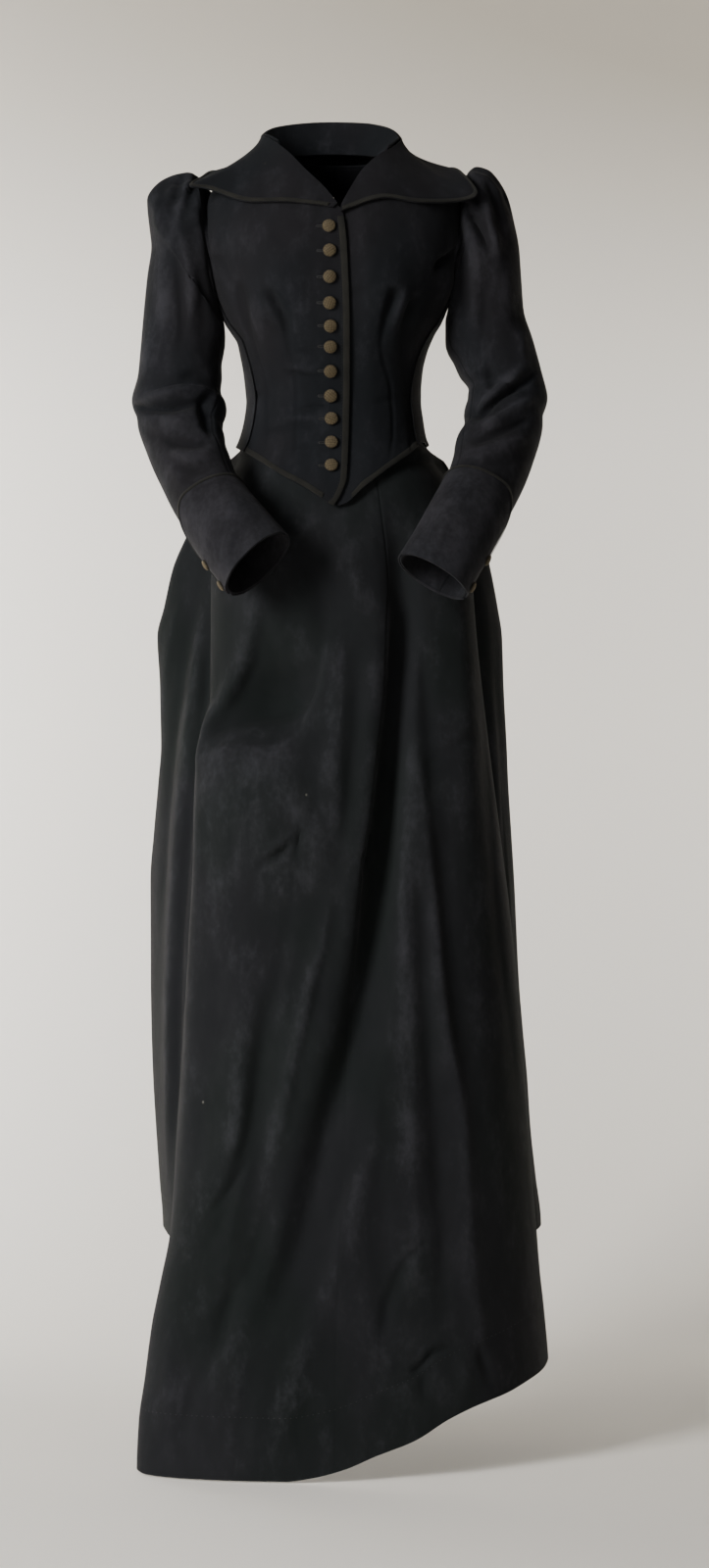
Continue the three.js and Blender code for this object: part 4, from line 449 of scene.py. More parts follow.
SKIRT_FOLDS = [
    # Hip and lap, below the jacket.
    down((515, 346, 0, 16, 16), (560, 352, 2.6, 15, 17), (606, 366, 2.2, 14, 15), (650, 372, 0, 12, 12)),
    down((520, 306, 0, 18, 18), (570, 318, -3.0, 18, 17), (630, 330, -2.4, 14, 12), (676, 326, 0, 10, 10)),
    down((500, 402, 0, 14, 16), (548, 408, -2.6, 13, 18), (600, 412, -4.0, 12, 16),
         (660, 408, -3.0, 10, 16), (720, 402, 0, 8, 14)),
    down((520, 376, 0, 4, 4), (545, 379, 0.9, 4, 4), (575, 381, 0, 4, 4)),
    # Sharp ridge of the front seam, with the deep valley beside it.
    down((590, 396, 0, 14, 3), (626, 395, 2.4, 18, 3.2), (700, 390, 4.4, 20, 3.2), (762, 383, 5.0, 20, 3.2),
         (830, 375, 4.6, 18, 3.2), (890, 366, 3.8, 17, 3.6), (960, 360, 2.2, 16, 5), (1040, 352, 0, 14, 6)),
    down((600, 412, 0, 8, 12), (650, 408, -2.8, 8, 13), (720, 404, -5.0, 9, 14), (800, 396, -5.8, 10, 15),
         (890, 391, -5.8, 13, 16), (980, 388, -5.4, 17, 16), (1060, 382, -5.0, 19, 16), (1140, 366, -4.6, 20, 15),
         (1240, 339, -4.4, 19, 14), (1320, 313, -3.2, 16, 12), (1370, 298, 0, 12, 10)),
    down((845, 374, 0, 1.6, 1.6), (858, 377, -3.4, 1.6, 1.8), (874, 376, -3.6, 1.6, 1.8),
         (890, 368, -1.6, 1.6, 1.8), (898, 366, 0, 1.6, 1.6)),
    # Pouch over the wearer's right knee: ridge, hollow and rim.
    down((585, 262, 0, 14, 8), (625, 260, 3.4, 16, 8), (668, 252, 5.2, 15, 8), (704, 237, 6.2, 13, 8),
         (745, 210, 5.4, 9, 8), (772, 199, 3.0, 6, 8), (800, 197, 0, 6, 8)),
    across((203, 752, 0, 12, 5), (225, 740, -3.4, 22, 7), (262, 728, -6.4, 30, 9),
           (296, 722, -7.2, 34, 10), (318, 706, -4.2, 28, 11), (334, 690, 0, 20, 9)),
    across((198, 778, 0, 4, 40), (215, 770, 1.4, 4, 50), (240, 765, 2.2, 5, 60), (275, 764, 2.4, 5, 64),
           (302, 754, 1.8, 6, 60), (322, 735, 0, 6, 40)),
    down((640, 336, 0, 5, 12), (672, 333, 3.2, 5, 13), (704, 326, 4.4, 5, 14),
         (735, 316, 3.6, 5, 16), (770, 312, 0, 8, 14)),
    down((640, 348, 0, 9, 9), (700, 347, 3.0, 10, 9), (770, 343, 3.4, 12, 9),
         (850, 338, 2.0, 12, 10), (930, 330, 0, 12, 10)),
    down((650, 368, 0, 6, 7), (720, 366, -1.8, 7, 8), (800, 359, -2.0, 7, 8), (870, 352, 0, 7, 8)),
    # Bends and pulls below the pouch.
    across((255, 886, 0, 3, 3), (268, 879, -1.9, 3, 4), (288, 868, -2.3, 3, 4), (303, 857, 0, 2, 3)),
    across((262, 872, 0, 7, 5), (282, 864, 2.0, 7, 4), (302, 850, 0, 6, 4)),
    down((838, 308, 0, 3, 3), (856, 305, -2.2, 3, 3), (880, 303, 0, 3, 3)),
    down((800, 232, 0, 6, 6), (850, 236, -1.3, 6, 8), (905, 232, 0, 6, 8)),
    down((790, 300, 0, 14, 14), (860, 322, 2.0, 14, 12), (930, 318, 0, 12, 12)),
    # Long folds of the knee piece.
    down((880, 342, 0, 9, 6), (950, 331, 2.4, 10, 6), (1040, 308, 3.2, 12, 7), (1140, 286, 3.0, 12, 8),
         (1240, 262, 2.6, 12, 9), (1330, 240, 1.4, 10, 9), (1400, 226, 0, 10, 10)),
    down((900, 300, 0, 10, 7), (980, 286, -1.6, 10, 8), (1060, 268, -2.6, 11, 9), (1150, 256, -2.8, 10, 9),
         (1200, 240, -3.2, 10, 8), (1250, 222, -1.6, 9, 8), (1300, 208, 0, 9, 8)),
    down((900, 262, 0, 14, 12), (990, 250, 2.0, 14, 12), (1080, 244, 2.6, 14, 12),
         (1160, 238, 2.2, 12, 12), (1230, 226, 0, 12, 12)),
    down((960, 222, 0, 10, 10), (1060, 214, -1.4, 10, 10), (1160, 206, -1.6, 10, 10), (1230, 196, 0, 8, 9)),
    down((1290, 246, 0, 8, 8), (1340, 232, -2.6, 9, 9), (1372, 222, -2.8, 9, 8), (1410, 206, 0, 8, 8)),
    across((206, 1240, 0, 5, 5), (226, 1222, -2.0, 5, 5), (246, 1198, -1.6, 5, 5), (258, 1180, 0, 5, 5)),
    down((1360, 176, 0, 9, 9), (1410, 172, 2.0, 9, 9), (1470, 168, 0.8, 9, 9), (1500, 166, 0, 9, 9)),
    down((1390, 204, 0, 8, 8), (1430, 194, -2.0, 8, 8), (1475, 186, -1.0, 8, 8), (1500, 184, 0, 8, 8)),
    down((1330, 320, 0, 12, 12), (1390, 306, 2.2, 14, 14), (1450, 292, 1.2, 14, 14), (1500, 284, 0, 14, 14)),
    down((1370, 262, 0, 10, 10), (1430, 250, -1.5, 10, 10), (1480, 244, -0.8, 10, 10), (1505, 240, 0, 10, 10)),
    # Folds of the plain piece.
    down((560, 428, 0, 18, 18), (640, 426, -3.0, 18, 18), (730, 432, -4.4, 20, 20), (911, 450, -4.2, 24, 22),
         (1100, 466, -4.2, 26, 22),
         (1260, 480, -2.6, 26, 22), (1380, 486, 0, 24, 20)),
    down((740, 424, 0, 10, 7), (800, 431, 1.2, 10, 7), (911, 443, 1.7, 11, 7), (1030, 455, 1.7, 12, 7),
         (1153, 475, 1.7, 12, 7), (1297, 484, 1.4, 12, 7), (1370, 490, 0.8, 10, 7), (1420, 496, 0, 10, 7)),
    down((800, 448, 0, 8, 9), (900, 456, -1.8, 8, 10), (1030, 468, -1.8, 8, 10),
         (1150, 488, -1.6, 8, 10), (1300, 496, 0, 8, 9)),
    down((830, 410, 0, 8, 7), (900, 412, 1.1, 8, 7), (1030, 420, 1.2, 9, 7), (1163, 422, 1.2, 10, 7),
         (1290, 424, 1.0, 10, 7), (1350, 416, 0, 10, 7)),
    down((860, 432, 0, 9, 8), (940, 432, -2.0, 9, 9), (1060, 438, -2.4, 10, 10), (1180, 446, -2.4, 10, 10),
         (1290, 452, -1.6, 10, 10), (1370, 452, 0, 9, 9)),
    down((1040, 398, 0, 12, 12), (1120, 394, -1.5, 12, 12), (1240, 388, -2.0, 14, 13),
         (1350, 392, -1.0, 12, 10), (1410, 396, 0, 10, 10)),
    down((560, 462, 0, 14, 14), (640, 470, 3.6, 15, 13), (720, 475, 4.2, 15, 13),
         (800, 478, 3.0, 15, 13), (900, 484, 0, 14, 12)),
    down((640, 432, 0, 8, 8), (700, 436, -1.6, 8, 8), (780, 444, -1.2, 8, 8), (840, 446, 0, 8, 8)),
    across((450, 762, 0, 4, 4), (470, 757, -1.3, 4, 5), (492, 746, 0, 4, 4)),
    across((430, 775, 0, 3, 3), (444, 778, -1.0, 3, 4), (458, 770, 0, 3, 3)),
    across((416, 1400, 0, 3, 4), (426, 1396, -2.6, 4, 4), (442, 1380, -2.4, 4, 4),
           (462, 1376, -1.2, 4, 4), (474, 1380, 0, 4, 4)),
    down((1368, 488, 0, 4, 4), (1386, 491, -2.4, 4, 5), (1402, 496, -1.6, 4, 5), (1420, 500, 0, 4, 4)),
    down((1392, 430, 0, 5, 5), (1410, 432, -1.6, 5, 5), (1440, 434, 0, 5, 5)),
    down((1376, 470, 0, 7, 7), (1400, 474, 1.6, 7, 7), (1430, 480, 0, 7, 7)),
    down((1250, 440, 0, 5, 5), (1290, 412, -1.8, 6, 6), (1340, 394, -2.4, 6, 7), (1376, 390, 0, 6, 6)),
    # Rolled edges where the apron lies over the back layer.
    down((640, 484, 0, 6, 6), (720, 492, -1.0, 6, 4), (830, 500, -1.4, 7, 4), (940, 508, -1.4, 7, 4),
         (1060, 522, -1.2, 7, 4), (1180, 532, 0, 7, 4)),
    down((780, 204, 0, 5, 8), (860, 200, 1.6, 5, 8), (1000, 194, 1.6, 5, 8),
         (1120, 190, 1.4, 5, 8), (1200, 186, 0, 5, 8)),
]

BACK_LAYER_FOLDS = [
    # Folds of the back layer that show beside the apron.
    down((615, 206, 0, 5, 5), (652, 203, 2.4, 6, 5), (700, 198, 3.0, 7, 5), (769, 188, 2.6, 7, 4),
         (874, 179, 2.4, 7, 4), (985, 173, 2.4, 6, 4), (1100, 170, 2.4, 6, 4), (1243, 169, 0, 5, 4)),
    down((640, 214, 0, 4, 4), (700, 208, -4.0, 4, 6), (769, 198, -5.0, 4, 6), (874, 188, -4.2, 4, 6),
         (985, 181, -3.8, 4, 6), (1100, 179, -3.2, 4, 5), (1240, 176, 0, 4, 5)),
    down((585, 188, 0, 5, 5), (660, 173, 1.6, 6, 5), (740, 164, 1.6, 6, 6), (850, 160, 0, 6, 6)),
    down((600, 198, 0, 4, 4), (670, 188, -2.0, 5, 5), (760, 177, -2.2, 5, 4),
         (880, 168, -1.8, 4, 4), (1000, 163, 0, 4, 4)),
    down((640, 502, 0, 4, 4), (760, 512, -1.8, 4, 4), (900, 518, -1.8, 4, 4), (1050, 530, 0, 4, 4)),
]

# Folds of the back layer seen from behind: angle round from the front, half width, depth, top and foot.
BACK_DRAPES = Table("angle width depth top foot lean", [
    [100, 4, -3.0, 1180, 600, 3], [106, 3.5, 3.4, 1240, 330, -2], [119, 4, -3.5, 1270, 284, 2],
    [124, 3, 3.0, 1120, 420, -3], [139, 3.4, -4.0, 1275, 284, 3], [145, 3, 4.2, 1290, 320, -2],
    [160, 3.2, -3.6, 1260, 284, 2], [166, 3, 3.8, 1150, 460, -3], [178, 3, -4.4, 1285, 284, 1],
    [184, 3, 4.4, 1290, 300, 2], [200, 3.4, -3.4, 1230, 284, -2], [207, 3, 3.6, 1280, 360, 3],
    [221, 3.4, -3.8, 1285, 284, 2], [228, 3, 3.0, 1180, 480, -2], [243, 4, -3.2, 1240, 284, 3],
    [250, 3.5, 3.4, 1140, 500, -3], [258, 4, -2.6, 1200, 640, 2],
])

# Creases of the jacket's back: height, angle, reach up, reach round, depth.
BACK_CREASES = [(1372, 165, 4, 16, -1.0), (1372, -163, 4, 15, -0.9), (1352, 150, 5, 18, 1.0),
                (1350, -148, 5, 18, 1.0), (1400, 140, 4, 14, -0.9), (1398, -142, 4, 13, -0.9),
                (1560, 140, 16, 6, -1.2), (1556, -141, 16, 6, -1.2), (1462, 125, 8, 10, -1.1),
                (1460, -126, 8, 10, -1.0)]

# Creases at the back of the sleeves: step, turn, reach along, reach round, depth.
SLEEVE_CREASES = [(12.2, 215, 0.35, 55, -3.6), (12.9, 230, 0.4, 50, 2.6), (13.5, 215, 0.3, 50, -2.8),
                  (14.2, 240, 0.4, 45, 1.8), (11.2, 240, 0.4, 45, -1.8), (8.0, 250, 1.6, 14, -1.8),
                  (8.6, 215, 1.8, 14, 1.6), (15.6, 225, 0.4, 40, -1.4), (3.6, 285, 1.2, 8, -1.6),
                  (3.4, 262, 1.3, 8, 1.4), (3.4, 240, 1.3, 8, -1.5)]


def edged(count, left, right, near):
    """Even shares from 0 to 1 with more of them next to the edges that are seams."""
    shares = list(np.linspace(0, 1, count + 1))
    shares += [n for n in near if left] + [1 - n for n in near if right]
    return np.array(sorted(set(round(s, 6) for s in shares)))


def arc_lengths(points, axis):
    steps = np.linalg.norm(np.diff(points, axis=axis), axis=-1)
    start = np.zeros_like(np.take(steps, [0], axis=axis))
    return np.concatenate([start, np.cumsum(steps, axis=axis)], axis=axis)


def soften(values, times):
    for _ in range(times):
        wide = np.pad(values, 1, mode="edge")
        values = (wide[:-2, 1:-1] + wide[2:, 1:-1] + wide[1:-1, :-2] + wide[1:-1, 2:]) / 4
    return values


class Cloth:
    """A panel of cloth: rows of outer points with normals, its own place on the cloth, and its wear and shade: paler
    on the ridges of its folds, partly wear and partly painted highlight, with painted shade in their hollows.
    """

    def __init__(self, points, own=None):
        self.points = points
        self.own = own
        self.outward = 1.0
        self.sewn = (False, False)
        self.wear_and_shade = np.zeros(points.shape[:2])
        self.aim()
        if np.sum(self.normals * (points - points.mean((0, 1)))) < 0:
            self.outward = -1.0
            self.aim()
        if own is not None:
            self.own = own * np.sign(np.sum(own * self.normals))
        rows, columns = arc_lengths(points, 0), arc_lengths(points, 1)
        self.place = np.stack([columns - columns[:, -1:] / 2, rows], axis=-1) / 1000.0

    def aim(self):
        along = np.gradient(self.points, axis=1)
        up = np.gradient(self.points, axis=0)
        self.normals = unit(np.cross(along, up)) * self.outward

    def ways(self):
        """Outward ways that a panel shares with its neighbours at their seams."""
        return self.normals if self.own is None else self.own

    def raise_by(self, rise):
        self.points = self.points + self.ways() * rise[..., None]
        # Ridges of the rise turn paler, partly wear and partly painted highlight, and its hollows take painted shade.
        self.wear_and_shade = self.wear_and_shade + np.clip((rise - soften(rise, 60)) / 2.5, -1, 1)
        self.aim()

    def fold(self, folds, keep=1.0):
        u, v = picture_place(self.points)
        facing = smooth((-self.ways()[..., 1] - 0.05) / 0.4)
        self.raise_by(sum(f.rise(u, v) for f in folds) * facing * keep)

    def sink_seams(self, left, right, depth, reach):
        """Draws in the edges that are sewn to a neighbour, left or right."""
        self.sewn = (left, right)
        distance = arc_lengths(self.points, 1)
        sunk = np.zeros(self.wear_and_shade.shape)
        if left:
            sunk += bell(distance, reach)
        if right:
            sunk += bell(distance[:, -1:] - distance, reach)
        self.points = self.points - self.ways() * (depth * np.minimum(sunk, 1))[..., None]
        # The sunk seams take painted shade.
        self.wear_and_shade = np.clip(self.wear_and_shade - 0.5 * np.minimum(sunk, 1), -1, 1)


def in_frame(points):
    """From millimetres above the hem to metres in the part's frame."""
    shifted = np.array(points, float).reshape(-1, 3)
    return (shifted - [0, 0, SHOULDER_HEIGHT]) / 1000.0


def mesh_piece(name, points, faces, place=None, values=None, crease=50):
    mesh = bpy.data.meshes.new(name)
    mesh.from_pydata(in_frame(points).tolist(), [], [tuple(f) for f in faces])
    mesh.polygons.foreach_set("use_smooth", np.ones(len(mesh.polygons), bool))
    if place is not None:
        corner = np.zeros(len(mesh.loops), np.int32)
        mesh.loops.foreach_get("vertex_index", corner)
        layer = mesh.uv_layers.new(name="cloth")
        layer.data.foreach_set("uv", np.asarray(place, np.float32)[corner].ravel())
    for key, data in (values or {}).items():
        layer = mesh.attributes.new(key, "FLOAT", "POINT")
        layer.data.foreach_set("value", np.asarray(data, np.float32).ravel())
    mesh.set_sharp_from_angle(angle=math.radians(crease))
    mesh.update()
    piece = bpy.data.objects.new(name, mesh)
    bpy.context.scene.collection.objects.link(piece)
    return piece


def wall(name, cloth, thick):
    """Closed wall of cloth from a panel, its inner side offset along the normals, rounded at its free rims."""
    rows, columns = cloth.points.shape[:2]
    rim = np.zeros((rows, columns, 3))
    along = unit(np.gradient(cloth.points, axis=1))
    up = unit(np.gradient(cloth.points, axis=0))
    rim[0] -= up[0]
    rim[-1] += up[-1]
    if not cloth.sewn[0]:
        rim[:, 0] -= along[:, 0]
    if not cloth.sewn[1]:
        rim[:, -1] += along[:, -1]
    rounding = rim * 0.25 * thick * 0.5
    outer = cloth.points - rounding
    inner = cloth.points - cloth.normals * thick - rounding
    middle = cloth.points - cloth.normals * thick / 2
    stations = [outer, middle, inner]
    count = rows * columns
    index = np.arange(count).reshape(rows, columns)
    a, b = index[:-1, :-1].ravel(), index[:-1, 1:].ravel()
    c, d = index[1:, 1:].ravel(), index[1:, :-1].ravel()
    faces = [np.stack([a, b, c, d], 1), np.stack([a, d, c, b], 1) + 2 * count]
    loops = [(index[0], True), (index[-1], False), (index[:, 0], False), (index[:, -1], True)]
    for loop, forward in loops:
        for level in (0, 1):
            p, q = loop[:-1] + level * count, loop[1:] + level * count
            quad = np.stack([q, p, p + count, q + count] if forward else [p, q, q + count, p + count], 1)
            faces.append(quad)
    faces = np.vstack(faces)
    if cloth.outward < 0:
        faces = faces[:, ::-1]
    points = np.concatenate([s.reshape(-1, 3) for s in stations])
    place = np.tile(cloth.place.reshape(-1, 2), (3, 1))
    wear_and_shade = np.tile(cloth.wear_and_shade.ravel(), 3)
    used = np.unique(faces)
    renumber = np.full(len(points), -1)
    renumber[used] = np.arange(len(used))
    return mesh_piece(name, points[used], renumber[faces], place[used], {"wear_and_shade": wear_and_shade[used]})


# Forms of the garment.
def torso_base(angle, height):
    angle, height = np.broadcast_arrays(np.asarray(angle, float), np.asarray(height, float))
    sine, cosine = np.sin(np.radians(angle)), np.cos(np.radians(angle))
    half = np.where(sine >= 0, TORSO("left", height), TORSO("right", height))
    depth = np.where(cosine >= 0, TORSO("front", height), TORSO("back", height))
    power = 2 / TORSO("squareness", height)
    x = np.sign(sine) * half * np.abs(sine) ** power
    y = -np.sign(cosine) * depth * np.abs(cosine) ** power
    bust = BUST["lift"] * bell(np.abs(x) - BUST["out"], BUST["across"]) * bell(height - BUST["height"], BUST["up"])
    return point(x, y - np.where(cosine > 0, bust, 0), height)


def torso_normal(angle, height):
    return normal_of(torso_base, np.asarray(angle, float), np.asarray(height, float), 0.6, 1.5)


def front_angle_at(place, height):
    half = np.where(place >= 0, TORSO("left", height), TORSO("right", height))
    sine = np.clip(np.abs(place) / half, 0, 0.999) ** (TORSO("squareness", height) / 2)
    return np.sign(place) * np.degrees(np.arcsin(sine))


def jacket_hem(angle, height):
    place = torso_base(angle, height)[..., 0]
    front = np.where(place < 0, JACKET_HEM("right", np.abs(place)), JACKET_HEM("left", np.abs(place)))
    back = JACKET_HEM("back", np.abs(place))
    return mix(front, back, smooth((np.abs(angle) - 80) / 20))


def armhole_angle(height, toward_back):
    rise = np.clip((height - ARMHOLE_MIDDLE) / ARMHOLE_HALF_HEIGHT, -1, 1)
    reach = ARMHOLE_HALF_ANGLE * np.sqrt(1 - rise * rise)
    return 90 + (reach if toward_back else -reach)


def armhole_floor(angle):
    share = np.clip((angle - 90) / ARMHOLE_HALF_ANGLE, -1, 1)
    return ARMHOLE_MIDDLE - ARMHOLE_HALF_HEIGHT * np.sqrt(1 - share * share)


def seam_gap(height):
    return 0.1 / (TORSO("front", height) * math.pi / 180)


def lap_edge(height):
    return -front_angle_at(LAP_EDGE("across", height), height)


def under_edge(height):
    return front_angle_at(UNDER_EDGE("across", height), height)


def front_outer(height):
    edge = np.where(height > FRONT_SEAM_TOP, armhole_angle(height, False), SEAMS("underarm_front", height))
    return np.where(height >= SHOULDER_TOP, 90, edge) - seam_gap(height)


def back_inner(height):
    edge = np.where(height > BACK_SEAM_TOP, armhole_angle(height, True), SEAMS("side_back", height))
    return np.where(height >= SHOULDER_TOP, 90, edge) + seam_gap(height)


def side_back_inner(height):
    edge = np.where(height > FRONT_SEAM_TOP, armhole_angle(height, True), SEAMS("underarm_back", height))
    return edge + seam_gap(height)


def side_back_outer(height):
    return SEAMS("side_back", height) - seam_gap(height)


def back_outer(height):
    return 180 - seam_gap(height)


def panel_heights(top):
    low = np.linspace(JACKET_FOOT, PANEL_LEVEL, 40)
    high = np.linspace(PANEL_LEVEL, min(top, SHOULDER_TOP), 66)[1:]
    last = np.linspace(SHOULDER_TOP, top, 12)[1:] if top > SHOULDER_TOP else []
    return np.concatenate([low, high, last])


def hemmed_height(side, inner, outer, heights, share):
    """Rows below the level spread down to the hem, found step by step where the panel's own edges stand."""
    own = heights + 0 * share
    for _ in range(14):
        hem = jacket_hem(side * mix(inner(own), outer(own), share), own)
        below = mix(hem, PANEL_LEVEL, (heights - JACKET_FOOT) / (PANEL_LEVEL - JACKET_FOOT))
        own = np.where(heights < PANEL_LEVEL, mix(own, below, 0.6), heights)
    return own


def jacket_panel(side, kind, inner, outer, top, lift=None):
    heights = panel_heights(top)[:, None]
    share = edged(STEPS_ACROSS[kind], True, True, NEAR_SEAM)[None, :]
    own = hemmed_height(side, inner, outer, heights, share)
    angle = side * mix(inner(own), outer(own), share)
    points = torso_base(angle, own)
    if lift is not None:
        points = points + torso_normal(angle, own) * lift(points[..., 0], own)[..., None]
    cloth = Cloth(points, torso_normal(angle, own))
    cloth.angle = angle
    cloth.height = own
    return cloth


def lap_drop(place, height):
    return -LAP_DEPTH * (1 - smooth((place - LAP_EDGE("across", height) - 3) / 30))


def underarm_panel(side):
    low = np.concatenate([np.linspace(JACKET_FOOT, PANEL_LEVEL, 40),
                          np.linspace(PANEL_LEVEL, UNDERARM, 36)[1:]])[:, None]
    share = edged(STEPS_ACROSS["underarm"], True, True, NEAR_SEAM)[None, :]

    def front(height):
        return SEAMS("underarm_front", height) + seam_gap(height)

    def back(height):
        return SEAMS("underarm_back", height) - seam_gap(height)

    below = hemmed_height(side, front, back, low, share)
    floor = armhole_floor(mix(80, 100, share)) - 0.15
    above = mix(PANEL_LEVEL, floor, (low - PANEL_LEVEL) / (UNDERARM - PANEL_LEVEL))
    own = np.where(low < PANEL_LEVEL, below, above)
    angle = side * mix(front(own), back(own), share)
    cloth = Cloth(torso_base(angle, own), torso_normal(angle, own))
    cloth.angle = angle
    cloth.height = own
    return cloth


def crease_back(cloth):
    rise = np.zeros(cloth.wear_and_shade.shape)
    for height, angle, up, round_, depth in BACK_CREASES:
        away = cloth.angle - angle
        rise += depth * bell(cloth.height - height - 0.25 * away, up) * bell(away, round_)
    cloth.raise_by(rise)


def sleeve_middle(table, side, step):
    return point(side * (table("outer_x", step) + table("inner_x", step)) / 2, -table("forward", step),
                 (table("outer_z", step) + table("inner_z", step)) / 2)


def armhole_point(side, turn):
    angle = 90 - ARMHOLE_HALF_ANGLE * np.sin(np.radians(turn))
    height = ARMHOLE_MIDDLE + ARMHOLE_HALF_HEIGHT * np.cos(np.radians(turn))
    points = torso_base(side * angle, height)
    points[..., 0] += side * 0.9
    return points


def sleeve_swell(side, turn, step):
    wrapped = np.where(turn > 180, turn - 360, turn)
    top = smooth((115 - np.abs(wrapped)) / 50)
    head = top * smooth((step - 1) / 1.5) * smooth((8 - step) / 6)
    gathers = GATHER_DEPTH * np.sin(wrapped * 0.21 + side + 0.4 * np.sin(wrapped * 0.05))
    lean = np.cos(np.radians(turn))
    bend = sum(bell(step - at - tilt * lean, reach) * depth for at, tilt, reach, depth in ELBOW_BENDS)
    inside = 0.45 + 0.55 * (1 - np.cos(np.radians(turn - 10))) / 2
    return head * gathers - bend * inside


def sleeve_surface(table, side):
    def on_table(turn, step):
        turn, step = np.broadcast_arrays(np.asarray(turn, float), np.asarray(step, float))
        middle = sleeve_middle(table, side, step)
        outward = point(side * (table("outer_x", step) - table("inner_x", step)) / 2, 0,
                        (table("outer_z", step) - table("inner_z", step)) / 2)
        ahead = (sleeve_middle(table, side, np.minimum(step + 0.5, SLEEVE_END))
                 - sleeve_middle(table, side, np.maximum(step - 0.5, 1)))
        forward = unit(np.cross(outward, ahead))
        forward = forward * np.where(forward[..., 1:2] > 0, -1, 1)
        early = smooth((6.5 - step) / 1.0)[..., None]
        forward = unit(mix(forward, np.array([0.0, -1.0, 0.0]), early)) * table("half_depth", step)[..., None]
        cosine, sine = np.cos(np.radians(turn)), np.sin(np.radians(turn))
        power = 2 / SLEEVE_SQUARENESS
        out = (np.sign(cosine) * np.abs(cosine) ** power)[..., None]
        front = (np.sign(sine) * np.abs(sine) ** power)[..., None]
        points = middle + outward * out + forward * front
        return points + unit(points - middle) * sleeve_swell(side, turn, step)[..., None]

    def surface(turn, step):
        turn, step = np.broadcast_arrays(np.asarray(turn, float), np.asarray(step, float))
        early = mix(armhole_point(side, turn), on_table(turn, np.ones_like(turn)), np.clip(step, 0, 1)[..., None])
        return np.where(step[..., None] >= 1, on_table(turn, np.maximum(step, 1)), early)
    return surface


def sleeve_piece(table, side, turns, folds, count):
    surface = sleeve_surface(table, side)
    steps = np.concatenate([[-0.1, -0.05], np.linspace(0, 1, 5), np.linspace(1, 10, 60)[1:],
                            np.linspace(10, 16, 60)[1:], np.linspace(16, SLEEVE_FOOT, 26)[1:]])[:, None]
    share = edged(count, True, True, NEAR_SLEEVE_SEAM)
    turn = mix(turns[0] + 0.15, turns[1] - 0.15, share)[None, :]
    cloth = Cloth(surface(turn, np.maximum(steps, 0)))
    ring = np.array([0, 0, ARMHOLE_MIDDLE])
    inward = np.clip(-steps / 0.1, 0, 1)[..., None]
    turned_in = inward * point(side * SLEEVE_TURN_IN, 0, 0)
    shrunk = (cloth.points - ring) * np.array([0, 1, 1]) * 0.05 * inward
    cloth.points = cloth.points - turned_in - shrunk
    cloth.own = unit(normal_of(surface, turn, np.clip(steps, 0.06, SLEEVE_FOOT), 1.5, 0.05))
    cloth.own = cloth.own * np.sign(np.sum(cloth.own * cloth.normals))
    wrist = smooth((18.2 - steps) / 2.5)
    gather = smooth(steps / 0.9)
    rise = np.zeros(cloth.wear_and_shade.shape)
    for step, at, along, round_, depth in SLEEVE_CREASES:
        rise = rise + depth * bell(steps - step + 0.004 * (turn - at) * side, along) * bell(turn - at, round_)
    cloth.raise_by(rise * wrist)
    cloth.fold(folds, wrist * gather * SLEEVE_DEPTH)
    cloth.sink_seams(True, True, depth=0.7, reach=1.5)
    cloth.wear_and_shade = cloth.wear_and_shade + SLEEVE_PALER
    return cloth


def cuff_top(share):
    from_slit = np.minimum(share, 1 - share) / 0.2
    rounded = np.where(from_slit >= 1, 0, 1 - np.sqrt(np.clip(1 - (1 - from_slit) ** 2, 0, 1)))
    return mix(CUFF_START, CUFF_SLIT_TOP, rounded)


def cuff_cloth(table, side):
    surface = sleeve_surface(table, side)
    share = np.linspace(0, 1, 110)[None, :]
    turn = CUFF_SLIT + CUFF_SLIT_HALF + share * (360 - 2 * CUFF_SLIT_HALF)
    rise = np.linspace(0, 1, 26)[:, None]
    step = mix(SLEEVE_END, cuff_top(share), rise)
    base = surface(turn + 0 * rise, step)
    normal = normal_of(surface, turn + 0 * rise, np.minimum(step, SLEEVE_END - 0.05), 1.5, 0.05) * side
    soft = 0.5 * np.sin(np.radians(turn * 3 + 40)) * rise + 0.35 * np.sin(np.radians(turn * 7)) * (1 - rise)
    middle = base.mean(1, keepdims=True)
    normal = normal * np.sign(np.sum(normal * (base - middle), axis=-1, keepdims=True))
    cloth = Cloth(base + normal * (CUFF_LIFT + SLEEVE_WALL + soft)[..., None])
    cloth.wear_and_shade = cloth.wear_and_shade + 2 * SLEEVE_PALER
    return cloth


def upper_oval(angle, height, inset):
    base = torso_base(angle, height)
    normal = torso_normal(angle, height)
    depth = SKIRT_UNDER_JACKET + inset
    return (base - normal * np.asarray(depth)[..., None])[..., :2]


def apron_base(along, height):
    along, height = np.broadcast_arrays(np.asarray(along, float), np.asarray(height, float))
    degrees = np.abs(along) * APRON("edge_angle", height)
    angle = np.radians(degrees)
    half = np.where(along < 0, APRON("right_x", height), APRON("left_x", height))
    edge_y = np.where(along < 0, APRON("right_y", height), APRON("left_y", height))
    power = 2 / APRON("squareness", height)
    x = np.sign(along) * half * np.sin(angle) ** power
    front = -APRON("front", height)
    y = edge_y + (front - edge_y) * np.cos(np.minimum(angle, np.pi / 2)).clip(0) ** power
    share = smooth((height - UPPER_SKIRT_FROM) / (UPPER_SKIRT_FULL - UPPER_SKIRT_FROM))
    oval = upper_oval(np.sign(along) * degrees, height, np.zeros_like(height))
    return point(mix(x, oval[..., 0], share), mix(y, oval[..., 1], share), height)


